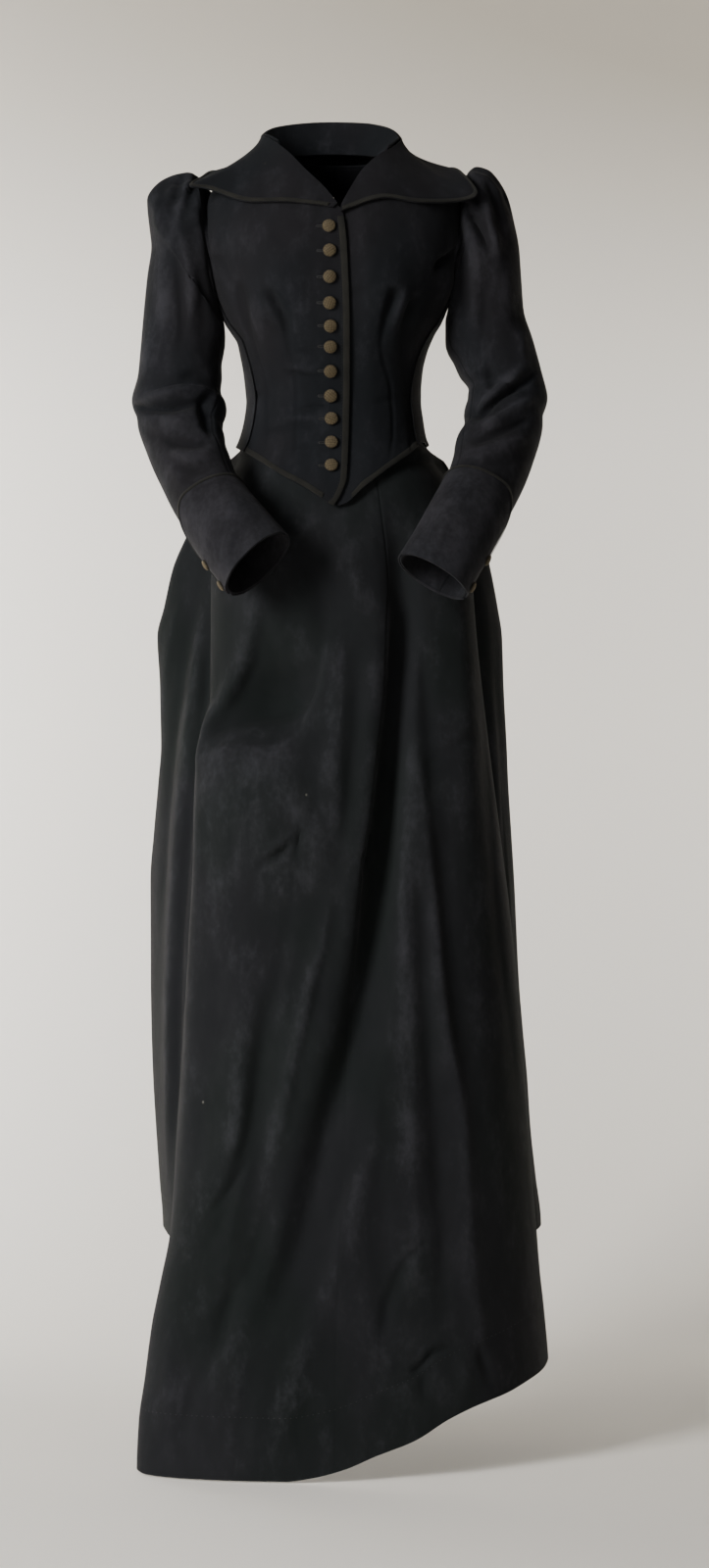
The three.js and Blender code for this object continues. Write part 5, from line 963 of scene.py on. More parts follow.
def apron_folds(x, height):
    depth = np.zeros(np.shape(x))
    for fold in (CENTRE_VALLEY, KNEE_VALLEY, OUTER_RIDGE):
        depth = depth + fold("depth", height) * bell(x - fold("across", height), fold("width", height))
    for place, middle, reach, up, own in KNEE_FORMS:
        depth = depth + own * bell(x - place, reach) * bell(height - middle, up)
    return depth


def from_rim(along):
    """0 at the apron's outer edges and 1 where its folds have their full depth."""
    return smooth((1 - np.abs(along)) / 0.25)


def apron_normal(surface, along, height, step=2.0):
    return normal_of(surface, np.clip(along, -APRON_RIM, APRON_RIM), height, 0.01, step)


def below_jacket(height):
    """0 where the jacket covers the skirt, and 1 where the skirt's folds are free."""
    return smooth((1225 - height) / 60)


def apron_surface(along, height):
    base = apron_base(along, height)
    depth = apron_folds(base[..., 0], height) * from_rim(along)
    return base - apron_normal(apron_base, along, height) * depth[..., None]


def seam_along(height):
    place = APRON_SEAM("across", height)
    half = np.where(place < 0, APRON("right_x", np.minimum(height, UPPER_SKIRT_FROM)),
                    APRON("left_x", np.minimum(height, UPPER_SKIRT_FROM)))
    sine = np.clip(np.abs(place) / half, 0, 0.999) ** (APRON("squareness", height) / 2)
    return np.sign(place) * np.degrees(np.arcsin(sine)) / APRON("edge_angle", height)


def apron_piece(edge, count):
    nominal = np.concatenate([[0, 1.2, 3, 6], np.linspace(0, SKIRT_TOP, 232)[2:]])[:, None]
    share = edged(count, True, False, NEAR_SKIRT_SEAM)[None, :]
    guess = mix(seam_along(nominal), edge, share)
    hem = APRON_HEM("height", apron_base(guess, nominal)[..., 0])
    height = np.where(nominal >= APRON_LEVEL, nominal, mix(hem, APRON_LEVEL, nominal / APRON_LEVEL))
    along = mix(seam_along(height), edge, share)
    points = apron_surface(along, height)
    cloth = Cloth(points, apron_normal(apron_surface, along, height, 3.0))
    base = apron_base(along, height)
    # The apron's deep valleys take painted shade and its ridges turn paler.
    deep = -apron_folds(base[..., 0], height) * from_rim(along)
    cloth.wear_and_shade = np.clip(deep / 22, -0.8, 0.5)
    cloth.fold(SKIRT_FOLDS, below_jacket(height) * SKIRT_DEPTH)
    parting = PARTING["depth"] * bell(height - PARTING["height"], PARTING["reach"])
    depth = 0.12 + 0.5 * smooth((height - 450) / 300) + parting
    cloth.sink_seams(True, False, depth=depth, reach=1.6)
    return cloth


def inside_apron(along, height, depth):
    normal = apron_normal(apron_base, along, height)
    return (apron_surface(along, height) - normal * depth[..., None])[..., :2]


def back_arc(angle, height):
    sine = math.sin(math.radians(angle))
    half = BACK("right_x" if sine < 0 else "left_x", height)
    side, depth = BACK("side_y", height), BACK("depth", height)
    power = 2 / BACK_SQUARENESS
    backward = max(-math.cos(math.radians(angle)), 0) ** power
    return np.stack([np.sign(sine) * half * abs(sine) ** power, side + (depth - side) * backward], -1)


def back_keys(height):
    low = smooth((UPPER_SKIRT_FULL - height) / (UPPER_SKIRT_FULL - UPPER_SKIRT_FROM))
    tuck = mix(4.5, 11, smooth((UPPER_SKIRT_FROM - height) / 180))

    def edge(side):
        end = inside_apron(np.full_like(height, side * APRON_RIM), height, tuck * 0.8)
        return end + np.stack([np.zeros_like(tuck), tuck * 0.9], -1)

    def fold(side, name):
        return np.stack([side * BACK(name + "_fold", height), BACK(name + "_fold_y", height)], -1)
    tucked = [inside_apron(np.full_like(height, a), height, tuck) for a in (-0.76, -0.89, 0.89, 0.76)]
    arcs = [back_arc(a, height) for a in (-90, -118, -138, -160, -180, 160, 138, 118, 90)]
    table = [tucked[0], tucked[1], edge(-1), fold(-1, "right"), *arcs, fold(1, "left"), edge(1), tucked[2], tucked[3]]
    angles = [-60, -69, -79, -85, -93, -118, -138, -160, -180, 160, 138, 118, 93, 85, 79, 69, 60]
    insets = [4, 4, 3.2, 1.2, 0, 0, 0, 0, 0, 0, 0, 0, 0, 1.2, 3.2, 4, 4]
    keys = []
    for own, angle, inset in zip(table, angles, insets):
        oval = upper_oval(np.full_like(height, angle), height, np.full_like(height, inset))
        keys.append(mix(oval, own, low[..., None]))
    return np.stack(keys, axis=-2)


def back_piece(start, end, count):
    heights = np.concatenate([[BACK_HEM, BACK_HEM + 1.2, BACK_HEM + 3], np.linspace(BACK_HEM, SKIRT_TOP, 186)[2:]])
    left, right = start > 0.4, end < 0.6
    share = edged(count, left, right, NEAR_SKIRT_SEAM)
    along = mix(start, end, share)
    keys = back_keys(heights)
    place = along * (keys.shape[-2] - 1)
    plan = np.stack([curve_through(keys[r], place) for r in range(len(heights))])
    height = heights[:, None] + 0 * along[None, :]
    place = place[None, :] + 0 * height
    growth = smooth((FLUTES_FROM - height) / 700) * 0.85 + smooth((FLUTES_FROM - height) / 1000) * 0.3
    angle = mix(90, 270, np.clip((place - 4) / 8, 0, 1))
    on_back = smooth((place - 4) / 1.2) * smooth((12 - place) / 1.2)
    depth = sum(d * bell(angle - a, w) for a, w, d in BACK_FLUTES) * growth
    fine = np.zeros_like(depth)
    for a, w, d, top, foot, lean in BACK_DRAPES.rows:
        run = smooth((top - height) / 160) * smooth((height - foot + 60) / 120 if foot > BACK_HEM else 1.0)
        fine += d * bell(angle - a - lean * (1290 - height) / 1000, w) * run * mix(0.5, 1.0, growth)
    depth = (depth + fine) * on_back
    reach = np.linalg.norm(plan, axis=-1)
    plan = plan * (1 - depth / reach)[..., None]
    cloth = Cloth(point(plan[..., 0], plan[..., 1], height))
    # The hollows of the flutes take painted shade and their ridges turn paler.
    cloth.wear_and_shade = np.clip(-(depth - soften(depth, 120)) / 7, -1, 1)
    cloth.fold(BACK_LAYER_FOLDS, below_jacket(height) * SKIRT_DEPTH)
    # Painted shade on the back layer's strips that show beside the apron.
    cloth.wear_and_shade = cloth.wear_and_shade - 0.45 * (1 - on_back)
    cloth.sink_seams(left, right, depth=0.7, reach=1.6)
    return cloth


def collar_curve(first, place):
    return curve_through(COLLAR[:, first:first + 3], place)


def collar_fall(along, drop):
    last = len(COLLAR) - 1
    roll, edge = collar_curve(0, along * last), collar_curve(3, along * last)
    points = mix(roll, edge, drop[..., None])
    width = np.linalg.norm(roll - edge, axis=-1)
    bow = curve_through(COLLAR[:, 7:8], along * last)[..., 0]
    flat = np.hypot(points[..., 0], points[..., 1])
    outward = unit(point(points[..., 0], points[..., 1], flat))
    return points + outward * (bow * width * np.sin(np.pi * drop ** 0.8))[..., None]


def collar_cloth():
    along = np.clip(np.linspace(0, 1, 230), 0.004, 0.996)[:, None]
    drop = np.concatenate([[1, 0.992, 0.98], np.linspace(1, 0, 26)[1:]])[None, :]
    cloth = Cloth(collar_fall(along + 0 * drop, drop + 0 * along))
    wave = (0.5 * np.sin(along * 31 + 1) + 0.4 * np.sin(along * 53)) * np.sin(np.pi * np.clip(drop, 0.05, 1)) * 0.7
    wave = wave * smooth(along / 0.08) * smooth((1 - along) / 0.08)
    cloth.raise_by(wave)
    return cloth


def stand_cloth():
    last = len(COLLAR) - 1
    along = mix(0.21, 0.79, np.linspace(0, 1, 150))[:, None]
    drop = np.linspace(1, 0.05, 9)[None, :]

    def surface(a, d):
        a, d = np.broadcast_arrays(a, d)
        roll = collar_curve(0, a * last)
        height = curve_through(COLLAR[:, 6:7], a * last)[..., 0]
        flat = np.hypot(roll[..., 0], roll[..., 1])
        inset = np.minimum(height, 30) * 0.75
        foot = roll - point(roll[..., 0] / flat * inset, roll[..., 1] / flat * inset, height)
        return mix(roll, foot, d[..., None])
    normal = normal_of(surface, along + 0 * drop, drop + 0 * along, 0.003, 0.02)
    return Cloth(surface(along, drop) - normal * 2.9)


def band_cloth():
    angle = mix(100, -258, np.linspace(0, 1, 160))[None, :]
    height = np.linspace(1391.9, 1424, 8)[:, None]
    points = torso_base(angle + 0 * height, height + 0 * angle)
    return Cloth(points - torso_normal(angle + 0 * height, height + 0 * angle) * SKIRT_UNDER_JACKET)


# Braid, made from the points of the panel that it lies on.
def strip_along(lines, normals, far, thick):
    """Points across a flat braid from lines that start at a panel's edge, domed a little and moved out."""
    reach = arc_lengths(lines, 1)
    across_ = np.linspace(0, 1, BRAID_STEPS)
    dome = 1 - 0.55 * np.abs(2 * across_ - 1) ** 3
    outer, normal_rows = [], []
    for line, normal, length in zip(lines, normals, reach):
        distance = np.interp(mix(BRAID_START, far, across_), length, np.arange(len(length)))
        low = np.clip(np.floor(distance).astype(int), 0, len(length) - 2)
        t = (distance - low)[:, None]
        place = mix(line[low], line[low + 1], t)
        aim = unit(mix(normal[low], normal[low + 1], t))
        outer.append(place + aim * (BRAID_REST + thick * dome)[:, None])
        normal_rows.append(aim)
    return np.array(outer), np.array(normal_rows)


def braid_piece(name, lines, normals, far, thick):
    outer, aims = strip_along(lines, normals, far, thick)
    cloth = Cloth(outer)
    if np.mean(np.sum(cloth.normals * aims, axis=-1)) < 0:
        cloth.outward = -cloth.outward
        cloth.aim()
    length = arc_lengths(outer, 0)[:, BRAID_STEPS // 2]
    width = np.linspace(BRAID_START, far, BRAID_STEPS)
    cloth.place = np.stack(np.broadcast_arrays(width[None, :], length[:, None]), -1) / 1000.0
    return wall(name, cloth, thick)


def basket_height(x, y):
    """Relief of cord worked in a basket pattern over a button, from -1 to 1 square."""
    cell = 0.36
    column, row = np.floor(x / cell + 0.5), np.floor(y / cell + 0.5)
    flat = ((column + row) % 2) == 0
    inner_x, inner_y = x / cell + 0.5 - column, y / cell + 0.5 - row
    along_x = np.abs(np.cos(np.pi * 2 * inner_y)) * np.sin(np.pi * inner_x) ** 0.5
    along_y = np.abs(np.cos(np.pi * 2 * inner_x)) * np.sin(np.pi * inner_y) ** 0.5
    return np.where(flat, along_x, along_y)


def button_points(radius, height, twist):
    """Rings of a domed button over its seat, with the basket relief on top."""
    sides, rings = 56, 22
    profile = np.concatenate([np.linspace(0.0, 0.92, 15), [0.97, 1.0, 1.0, 0.965, 0.9, 0.84, 0.8]])
    dome = np.concatenate([1 - 0.42 * np.linspace(0, 0.92, 15) ** 2.2, [0.56, 0.44, 0.30, 0.17, 0.07, 0.0, 0.0]])
    turn = np.linspace(0, 2 * np.pi, sides, endpoint=False)[None, :] + twist
    x, y = profile[:rings, None] * np.cos(turn), profile[:rings, None] * np.sin(turn)
    fade = smooth((1.04 - profile[:rings]) / 0.16)[:, None] * (np.arange(rings) < 17)[:, None]
    relief = basket_height(x * np.cos(-twist) - y * np.sin(-twist), x * np.sin(-twist) + y * np.cos(-twist))
    z = dome[:rings, None] * height + (relief - 0.5) * 0.95 * fade
    edge = 1 + 0.012 * np.cos(turn * 18) * (1 - fade)
    return x * radius * edge, y * radius * edge, z, relief * fade


def button_piece(name, seat, axis, radius, height, twist):
    x, y, z, relief = button_points(radius, height, twist)
    axis = unit(np.array(axis, float))
    first = unit(np.cross([0, 0, 1], axis))
    second = np.cross(axis, first)
    rings, sides = x.shape
    points = seat + x[..., None] * first + y[..., None] * second + z[..., None] * axis
    points = points.reshape(-1, 3)
    points = np.vstack([points[:1], points[sides:], seat[None] + axis * 0.02])
    faces = []
    index = lambda ring, k: 0 if ring == 0 else 1 + (ring - 1) * sides + k % sides
    for k in range(sides):
        faces.append((0, index(1, k), index(1, k + 1)))
        faces.append((len(points) - 1, index(rings - 1, k + 1), index(rings - 1, k)))
    for ring in range(1, rings - 1):
        for k in range(sides):
            faces.append((index(ring, k), index(ring + 1, k), index(ring + 1, k + 1), index(ring, k + 1)))
    flat = np.concatenate([[relief[0, 0]], relief[1:].ravel(), [0]])
    place = np.vstack([[0, 0], np.stack([x[1:].ravel(), y[1:].ravel()], -1), [0, 0]]) / 1000.0
    return mesh_piece(name, points, faces, place, {"wear_and_shade": flat}, crease=70)


# Materials: a socket that takes part in plain sums.
class Value:
    def __init__(self, tree, socket):
        self.tree = tree
        self.socket = socket

    def sum(self, kind, *others):
        node = self.tree.nodes.new("ShaderNodeMath")
        node.operation = kind
        for index, item in enumerate((self, *others)):
            if isinstance(item, Value):
                self.tree.links.new(item.socket, node.inputs[index])
            else:
                node.inputs[index].default_value = item
        return Value(self.tree, node.outputs[0])

    def __add__(self, other):
        return self.sum("ADD", other)

    def __sub__(self, other):
        return self.sum("SUBTRACT", other)

    def __rsub__(self, other):
        node = self.tree.nodes.new("ShaderNodeMath")
        node.operation = "SUBTRACT"
        node.inputs[0].default_value = other
        self.tree.links.new(self.socket, node.inputs[1])
        return Value(self.tree, node.outputs[0])

    def __mul__(self, other):
        return self.sum("MULTIPLY", other)

    __radd__ = __add__

    def sine(self):
        return self.sum("SINE")

    def size(self):
        return self.sum("ABSOLUTE")

    def part(self):
        return self.sum("FRACT")

    def over(self, edge):
        return self.sum("GREATER_THAN", edge)

    def between(self, low, high):
        node = self.tree.nodes.new("ShaderNodeMapRange")
        node.interpolation_type = "SMOOTHSTEP"
        self.tree.links.new(self.socket, node.inputs["Value"])
        node.inputs["From Min"].default_value = low
        node.inputs["From Max"].default_value = high
        return Value(self.tree, node.outputs["Result"])


class Look:
    """A material with a principled shader, and short ways to its other nodes."""

    def __init__(self, name, roughness=0.9, sheen=0.0, sheen_rough=0.5, specular=0.3):
        self.material = bpy.data.materials.new(name)
        self.material.use_nodes = True
        self.tree = self.material.node_tree
        self.shader = self.tree.nodes["Principled BSDF"]
        self.shader.inputs["Roughness"].default_value = roughness
        self.shader.inputs["Sheen Weight"].default_value = sheen
        self.shader.inputs["Sheen Roughness"].default_value = sheen_rough
        self.shader.inputs["Specular IOR Level"].default_value = specular

    def node(self, kind, **settings):
        node = self.tree.nodes.new(kind)
        for key, value in settings.items():
            setattr(node, key, value)
        return node

    def put(self, node, name, value):
        socket = node.inputs[name]
        if isinstance(value, Value):
            self.tree.links.new(value.socket, socket)
        elif isinstance(value, bpy.types.NodeSocket):
            self.tree.links.new(value, socket)
        else:
            socket.default_value = value

    def where(self):
        return self.node("ShaderNodeTexCoord").outputs["Object"]

    def on_cloth(self):
        return self.node("ShaderNodeUVMap", uv_map="cloth").outputs["UV"]

    def parts(self, vector):
        node = self.node("ShaderNodeSeparateXYZ")
        self.put(node, "Vector", vector)
        return [Value(self.tree, o) for o in node.outputs]

    def scaled(self, vector, by):
        node = self.node("ShaderNodeVectorMath", operation="MULTIPLY")
        self.put(node, 0, vector)
        node.inputs[1].default_value = by
        return node.outputs[0]

    def noise(self, vector, scale, detail=3.0, rough=0.5):
        node = self.node("ShaderNodeTexNoise")
        self.put(node, "Vector", vector)
        self.put(node, "Scale", scale)
        self.put(node, "Detail", detail)
        self.put(node, "Roughness", rough)
        return Value(self.tree, node.outputs["Fac"])

    def cells(self, vector, scale):
        node = self.node("ShaderNodeTexVoronoi")
        self.put(node, "Vector", vector)
        self.put(node, "Scale", scale)
        colour = self.node("ShaderNodeSeparateColor")
        self.put(colour, "Color", node.outputs["Color"])
        return Value(self.tree, node.outputs["Distance"]), Value(self.tree, colour.outputs[0])

    def wear_and_shade(self):
        node = self.node("ShaderNodeAttribute", attribute_name="wear_and_shade")
        return Value(self.tree, node.outputs["Fac"])

    def blend(self, share, low, high):
        node = self.node("ShaderNodeMix", data_type="RGBA")
        self.put(node, "Factor", share)
        for name, value in (("A", low), ("B", high)):
            socket = [s for s in node.inputs if s.name == name and s.type == "RGBA"][0]
            if isinstance(value, bpy.types.NodeSocket):
                self.tree.links.new(value, socket)
            else:
                socket.default_value = (*value, 1.0)
        return [s for s in node.outputs if s.type == "RGBA"][0]

    def bump(self, height, strength, distance):
        node = self.node("ShaderNodeBump")
        self.put(node, "Height", height)
        node.inputs["Strength"].default_value = strength
        node.inputs["Distance"].default_value = distance
        self.put(self.shader, "Normal", node.outputs["Normal"])


def wool(name, deep, mid, faded, cool, warm, flecks):
    """Fulled wool twill: diagonal ribs under a felted nap, paler on the ridges of its folds, partly wear and partly
    painted highlight, with painted shade in their hollows, and with lint and dust.
    """
    rib_step, cross_step, turn = 0.0011, 0.0007, 2 * math.pi
    look = Look(name, sheen=0.03, sheen_rough=0.4, specular=0.16)
    cloth, place = look.on_cloth(), look.where()
    across_, along, _ = look.parts(cloth)
    wander = look.noise(cloth, 160.0, 2.0) * 0.0012
    rib = ((across_ + along * 0.9 + wander) * (turn / rib_step)).sine()
    cross = ((across_ - along) * (turn / cross_step)).sine()
    nap = look.noise(look.scaled(cloth, (1.0, 0.55, 1.0)), 1500.0, 3.0, 0.6)
    felt = look.noise(cloth, 420.0, 3.0, 0.55)
    handled = look.noise(look.scaled(place, (1.0, 1.0, 0.6)), 38.0, 2.0, 0.5) * 9.0
    look.bump(rib * 0.28 + cross * 0.1 + nap * 0.9 + felt * 0.9 + handled, 0.55, 0.00035)
    clouds = look.noise(look.scaled(place, (1.0, 1.0, 0.45)), 9.0, 3.0, 0.5)
    patches = look.noise(look.scaled(place, (1.0, 1.0, 0.5)), 34.0, 3.0, 0.6)
    rubbed = look.noise(look.scaled(place, (1.0, 1.0, 0.7)), 150.0, 3.0, 0.65)
    wear_and_shade = look.wear_and_shade()
    # The ridges of the folds turn paler and their hollows darker: painted highlight and shade, partly wear on the
    # ridges.
    fade = (wear_and_shade * 0.22 + (clouds - 0.5) * 1.5 + (patches - 0.5) * 1.0 + 0.42).between(0.0, 1.0)
    ground = look.blend(fade, deep, mid)
    worn = (wear_and_shade * 0.35 + (patches - 0.5) * 1.6 + (rubbed - 0.5) * 1.1 + 0.14).between(0.1, 1.2)
    ground = look.blend(worn, ground, faded)
    hue = look.noise(look.scaled(place, (1.0, 1.0, 0.6)), 5.5, 2.0, 0.5).between(0.38, 0.62)
    tint = look.blend(hue, cool, warm)
    tinted = look.blend(0.34, ground, tint)
    shade = look.blend((rib * 0.5 + nap - 0.5).between(-0.5, 0.6) * 0.35, tinted, tuple(0.45 * c for c in deep))
    distance, pick = look.cells(look.scaled(place, (1.0, 1.0, 0.8)), flecks)
    speck = (1.0 - distance.between(0.035, 0.075)) * pick.over(0.955)
    dust = (look.noise(cloth, 900.0, 2.0, 0.7).between(0.69, 0.78)) * (clouds.between(0.45, 0.7)) * 0.35
    spotted = look.blend(speck * 0.75 + dust * 0.4, shade, (0.23, 0.22, 0.19))
    look.put(look.shader, "Base Color", spotted)
    look.put(look.shader, "Roughness", 0.93 - worn * 0.1 - speck * 0.1)
    return look.material


def braid_look():
    """Flat silk braid: fine V-shaped plait between two corded edges."""
    look = Look("braid silk", roughness=0.7, sheen=0.03, specular=0.25)
    across_, along, _ = look.parts(look.on_cloth())
    middle = (across_ * (1.0 / 0.0021)).part() - 0.5
    plait = ((along + middle.size() * 0.0016) * (2 * math.pi / 0.0013)).sine()
    fibre = look.noise(look.on_cloth(), 2200.0, 2.0, 0.6)
    look.bump(plait * 0.8 + fibre * 0.6, 0.75, 0.0004)
    patches = look.noise(look.where(), 55.0, 3.0, 0.6)
    ground = look.blend(patches.between(0.3, 0.7), (0.0070, 0.0070, 0.0060), (0.0135, 0.0130, 0.0105))
    ground = look.blend((plait * 0.5 + 0.5) * 0.35, ground, (0.022, 0.021, 0.017))
    look.put(look.shader, "Base Color", ground)
    look.put(look.shader, "Roughness", 0.72 - plait * 0.08)
    return look.material


def button_look():
    """Bronze-brown cord worked over a mould, with painted shade between the cords so that their tops stand out paler.
    """
    look = Look("button cord", roughness=0.6, sheen=0.02, specular=0.3)
    relief = look.wear_and_shade()
    fibre = look.noise(look.on_cloth(), 2600.0, 2.0, 0.6)
    twist_x, twist_y, _ = look.parts(look.on_cloth())
    twist = ((twist_x + twist_y) * (2 * math.pi / 0.0009)).sine()
    look.bump(twist * 0.5 + fibre * 0.7, 0.6, 0.0003)
    patches = look.noise(look.where(), 120.0, 2.0, 0.5)
    # Painted shade between the cords, where the relief is low.
    ground = look.blend(relief.between(0.1, 0.9), (0.013, 0.010, 0.006), (0.150, 0.112, 0.056))
    ground = look.blend(patches.between(0.35, 0.7) * 0.4, ground, (0.070, 0.056, 0.030))
    look.put(look.shader, "Base Color", ground)
    look.put(look.shader, "Roughness", 0.7 - relief * 0.18)
    return look.material


def cotton_look():
    look = Look("waistband cotton", roughness=0.85, specular=0.3)
    across_, along, _ = look.parts(look.on_cloth())
    weave = (across_ * (2 * math.pi / 0.0006)).sine() + (along * (2 * math.pi / 0.0006)).sine()
    look.bump(weave + look.noise(look.on_cloth(), 900.0), 0.4, 0.0002)
    patches = look.noise(look.where(), 30.0, 3.0, 0.5)
    look.put(look.shader, "Base Color", look.blend(patches, (0.009, 0.009, 0.011), (0.017, 0.017, 0.019)))
    look.put(look.shader, "Roughness", 0.8 + patches * 0.15)
    return look.material


def thread_look():
    look = Look("silk thread", roughness=0.5, specular=0.5)
    fibre = look.noise(look.where(), 3000.0, 2.0, 0.6)
    look.bump(fibre, 0.4, 0.0002)
    look.put(look.shader, "Base Color", look.blend(fibre, (0.006, 0.006, 0.007), (0.020, 0.020, 0.021)))
    look.put(look.shader, "Roughness", 0.45 + fibre * 0.2)
    return look.material


def paper_look():
    """Pale paper with painted shade toward its top and a little toward the right, and a painted glow that is
    strongest on the floor in front.
    """
    look = Look("pale paper", roughness=0.95, specular=0.1)
    place = look.where()
    side, depth, up = look.parts(place)
    patches = look.noise(place, 0.8, 2.0, 0.5)
    # Painted shade: the paper darkens toward its top and toward the right, where the light falls off.
    shade = up.between(-0.35, 0.6) * 0.8 + (side + 1.2).between(0.0, 2.6) * 0.4 + (patches - 0.5) * 0.08
    look.put(look.shader, "Base Color", look.blend(shade, (0.965, 0.937, 0.89), (0.42, 0.385, 0.325)))
    look.put(look.shader, "Roughness", 0.9 + patches * 0.08)
    # Painted light: the paper glows, most on the floor in front, which lifts it and softens the shadows there.
    painted_glow = look.blend(depth.between(-1.6, 0.8) * 0.8, (0.155, 0.148, 0.134), (0.03, 0.029, 0.027))
    look.put(look.shader, "Emission Color", painted_glow)
    look.put(look.shader, "Emission Strength", 1.0)
    # The paper is clear from its back, so that it hides nothing from behind.
    tree = look.material.node_tree
    face = tree.nodes.new("ShaderNodeNewGeometry")
    clear = tree.nodes.new("ShaderNodeBsdfTransparent")
    either = tree.nodes.new("ShaderNodeMixShader")
    output = next(node for node in tree.nodes if node.type == "OUTPUT_MATERIAL")
    tree.links.new(face.outputs["Backfacing"], either.inputs[0])
    tree.links.new(look.shader.outputs[0], either.inputs[1])
    tree.links.new(clear.outputs[0], either.inputs[2])
    tree.links.new(either.outputs[0], output.inputs["Surface"])
    return look.material


JACKET_WOOL = wool("jacket wool", deep=(0.0062, 0.0068, 0.0080), mid=(0.0128, 0.0134, 0.0162),
                   faded=(0.034, 0.034, 0.041), cool=(0.0080, 0.0110, 0.0150), warm=(0.0165, 0.0140, 0.0170),
                   flecks=34.0)
SKIRT_WOOL = wool("skirt wool", deep=(0.0070, 0.0080, 0.0084), mid=(0.0178, 0.0184, 0.0206),
                  faded=(0.041, 0.0415, 0.0490), cool=(0.0105, 0.0165, 0.0155), warm=(0.0185, 0.0195, 0.0245),
                  flecks=30.0)
BRAID_SILK = braid_look()
BUTTON_CORD = button_look()
BAND_COTTON = cotton_look()
THREAD = thread_look()


def stitch_nodes():
    """A tree that sets short thread stitches along a line, with named spacing, length and thickness."""
    tree = bpy.data.node_groups.new("stitches along a line", "GeometryNodeTree")
    sockets = {}
    tree.interface.new_socket("Geometry", in_out="INPUT", socket_type="NodeSocketGeometry")
    for name, start in (("Spacing", 0.004), ("Length", 0.002), ("Thread", 0.0004), ("Quarter Turn", 0.0)):
        socket = tree.interface.new_socket(name, in_out="INPUT", socket_type="NodeSocketFloat")
        socket.default_value = start
        sockets[name] = socket.identifier
    tree.interface.new_socket("Geometry", in_out="OUTPUT", socket_type="NodeSocketGeometry")

    def add(kind, values=None, **settings):
        node = tree.nodes.new(kind)
        for key, value in settings.items():
            setattr(node, key, value)
        for key, value in (values or {}).items():
            node.inputs[key].default_value = value
        return node

    enter, leave = add("NodeGroupInput"), add("NodeGroupOutput")
    line = add("GeometryNodeMeshToCurve")
    even = add("GeometryNodeResampleCurve", mode="LENGTH")
    tangent = add("GeometryNodeInputTangent")
    normal = add("GeometryNodeInputNamedAttribute", {"Name": "aim"}, data_type="FLOAT_VECTOR")
    lay = add("FunctionNodeAxesToRotation", primary_axis="Z", secondary_axis="X")
    quarter = add("FunctionNodeRotateRotation", rotation_space="LOCAL")
    spin = add("ShaderNodeCombineXYZ")
    wobble = add("FunctionNodeRandomValue", data_type="FLOAT")
    wobble.inputs["Seed"].default_value = 7
    wobble.inputs[2].default_value = -STITCH_WOBBLE
    wobble.inputs[3].default_value = STITCH_WOBBLE
    total = add("ShaderNodeMath", operation="ADD")
    capsule = add("GeometryNodeMeshUVSphere", {"Segments": 8, "Rings": 5, "Radius": 1.0})
    size = add("ShaderNodeCombineXYZ")
    half = add("ShaderNodeMath", {1: 0.5}, operation="MULTIPLY")
    put = add("GeometryNodeInstanceOnPoints")
    real = add("GeometryNodeRealizeInstances")
    paint = add("GeometryNodeSetMaterial", {"Material": THREAD})
    turn = add("FunctionNodeEulerToRotation")
    for source, output, target, entry in (
            (enter, "Geometry", line, "Mesh"), (line, "Curve", even, "Curve"),
            (enter, "Spacing", even, "Length"), (normal, "Attribute", lay, "Primary Axis"),
            (tangent, "Tangent", lay, "Secondary Axis"), (lay, "Rotation", quarter, "Rotation"),
            (enter, "Quarter Turn", total, 0), (wobble, 1, total, 1), (total, 0, spin, "Z"),
            (spin, 0, turn, 0), (turn, 0, quarter, "Rotate By"), (enter, "Length", half, 0),
            (half, 0, size, "X"), (enter, "Thread", size, "Y"), (enter, "Thread", size, "Z"),
            (even, "Curve", put, "Points"), (capsule, "Mesh", put, "Instance"),
            (quarter, "Rotation", put, "Rotation"), (size, 0, put, "Scale"),
            (put, "Instances", real, "Geometry"), (real, "Geometry", paint, "Geometry"),
            (paint, "Geometry", leave, "Geometry")):
        tree.links.new(source.outputs[output], target.inputs[entry])
    return tree, sockets


STITCHES, STITCH_SOCKETS = stitch_nodes()


def stitches(name, lines, spacing, length, thread, quarter):
    """Thread stitches along lines of (points, normals) in millimetres, as one finished mesh."""
    points, edges, aims = [], [], []
    for line, normals in lines:
        start = len(points)
        points += list(in_frame(line))
        aims += list(normals)
        edges += [(start + k, start + k + 1) for k in range(len(line) - 1)]
    mesh = bpy.data.meshes.new(name + " line")
    mesh.from_pydata([tuple(p) for p in points], edges, [])
    layer = mesh.attributes.new("aim", "FLOAT_VECTOR", "POINT")
    layer.data.foreach_set("vector", np.array(aims, np.float32).ravel())
    guide = bpy.data.objects.new(name + " guide", mesh)
    bpy.context.scene.collection.objects.link(guide)
    modifier = guide.modifiers.new("stitches", "NODES")
    modifier.node_group = STITCHES
    for key, value in (("Spacing", spacing), ("Length", length), ("Thread", thread)):
        modifier[STITCH_SOCKETS[key]] = value / 1000.0
    modifier[STITCH_SOCKETS["Quarter Turn"]] = quarter
    bpy.context.view_layer.update()
    shown = guide.evaluated_get(bpy.context.evaluated_depsgraph_get())
    done = bpy.data.meshes.new_from_object(shown)
    done.name = name
    bpy.data.objects.remove(guide)
    done.materials.clear()
    done.materials.append(THREAD)
    done.polygons.foreach_set("use_smooth", np.ones(len(done.polygons), bool))
    piece = bpy.data.objects.new(name, done)
    bpy.context.scene.collection.objects.link(piece)
    return piece


def dress(piece, material, slot, *nodes):
    if not piece.data.materials:
        piece.data.materials.append(material)
    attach(piece, "root")
    if nodes:
        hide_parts(*nodes)
    return piece


panels = {}


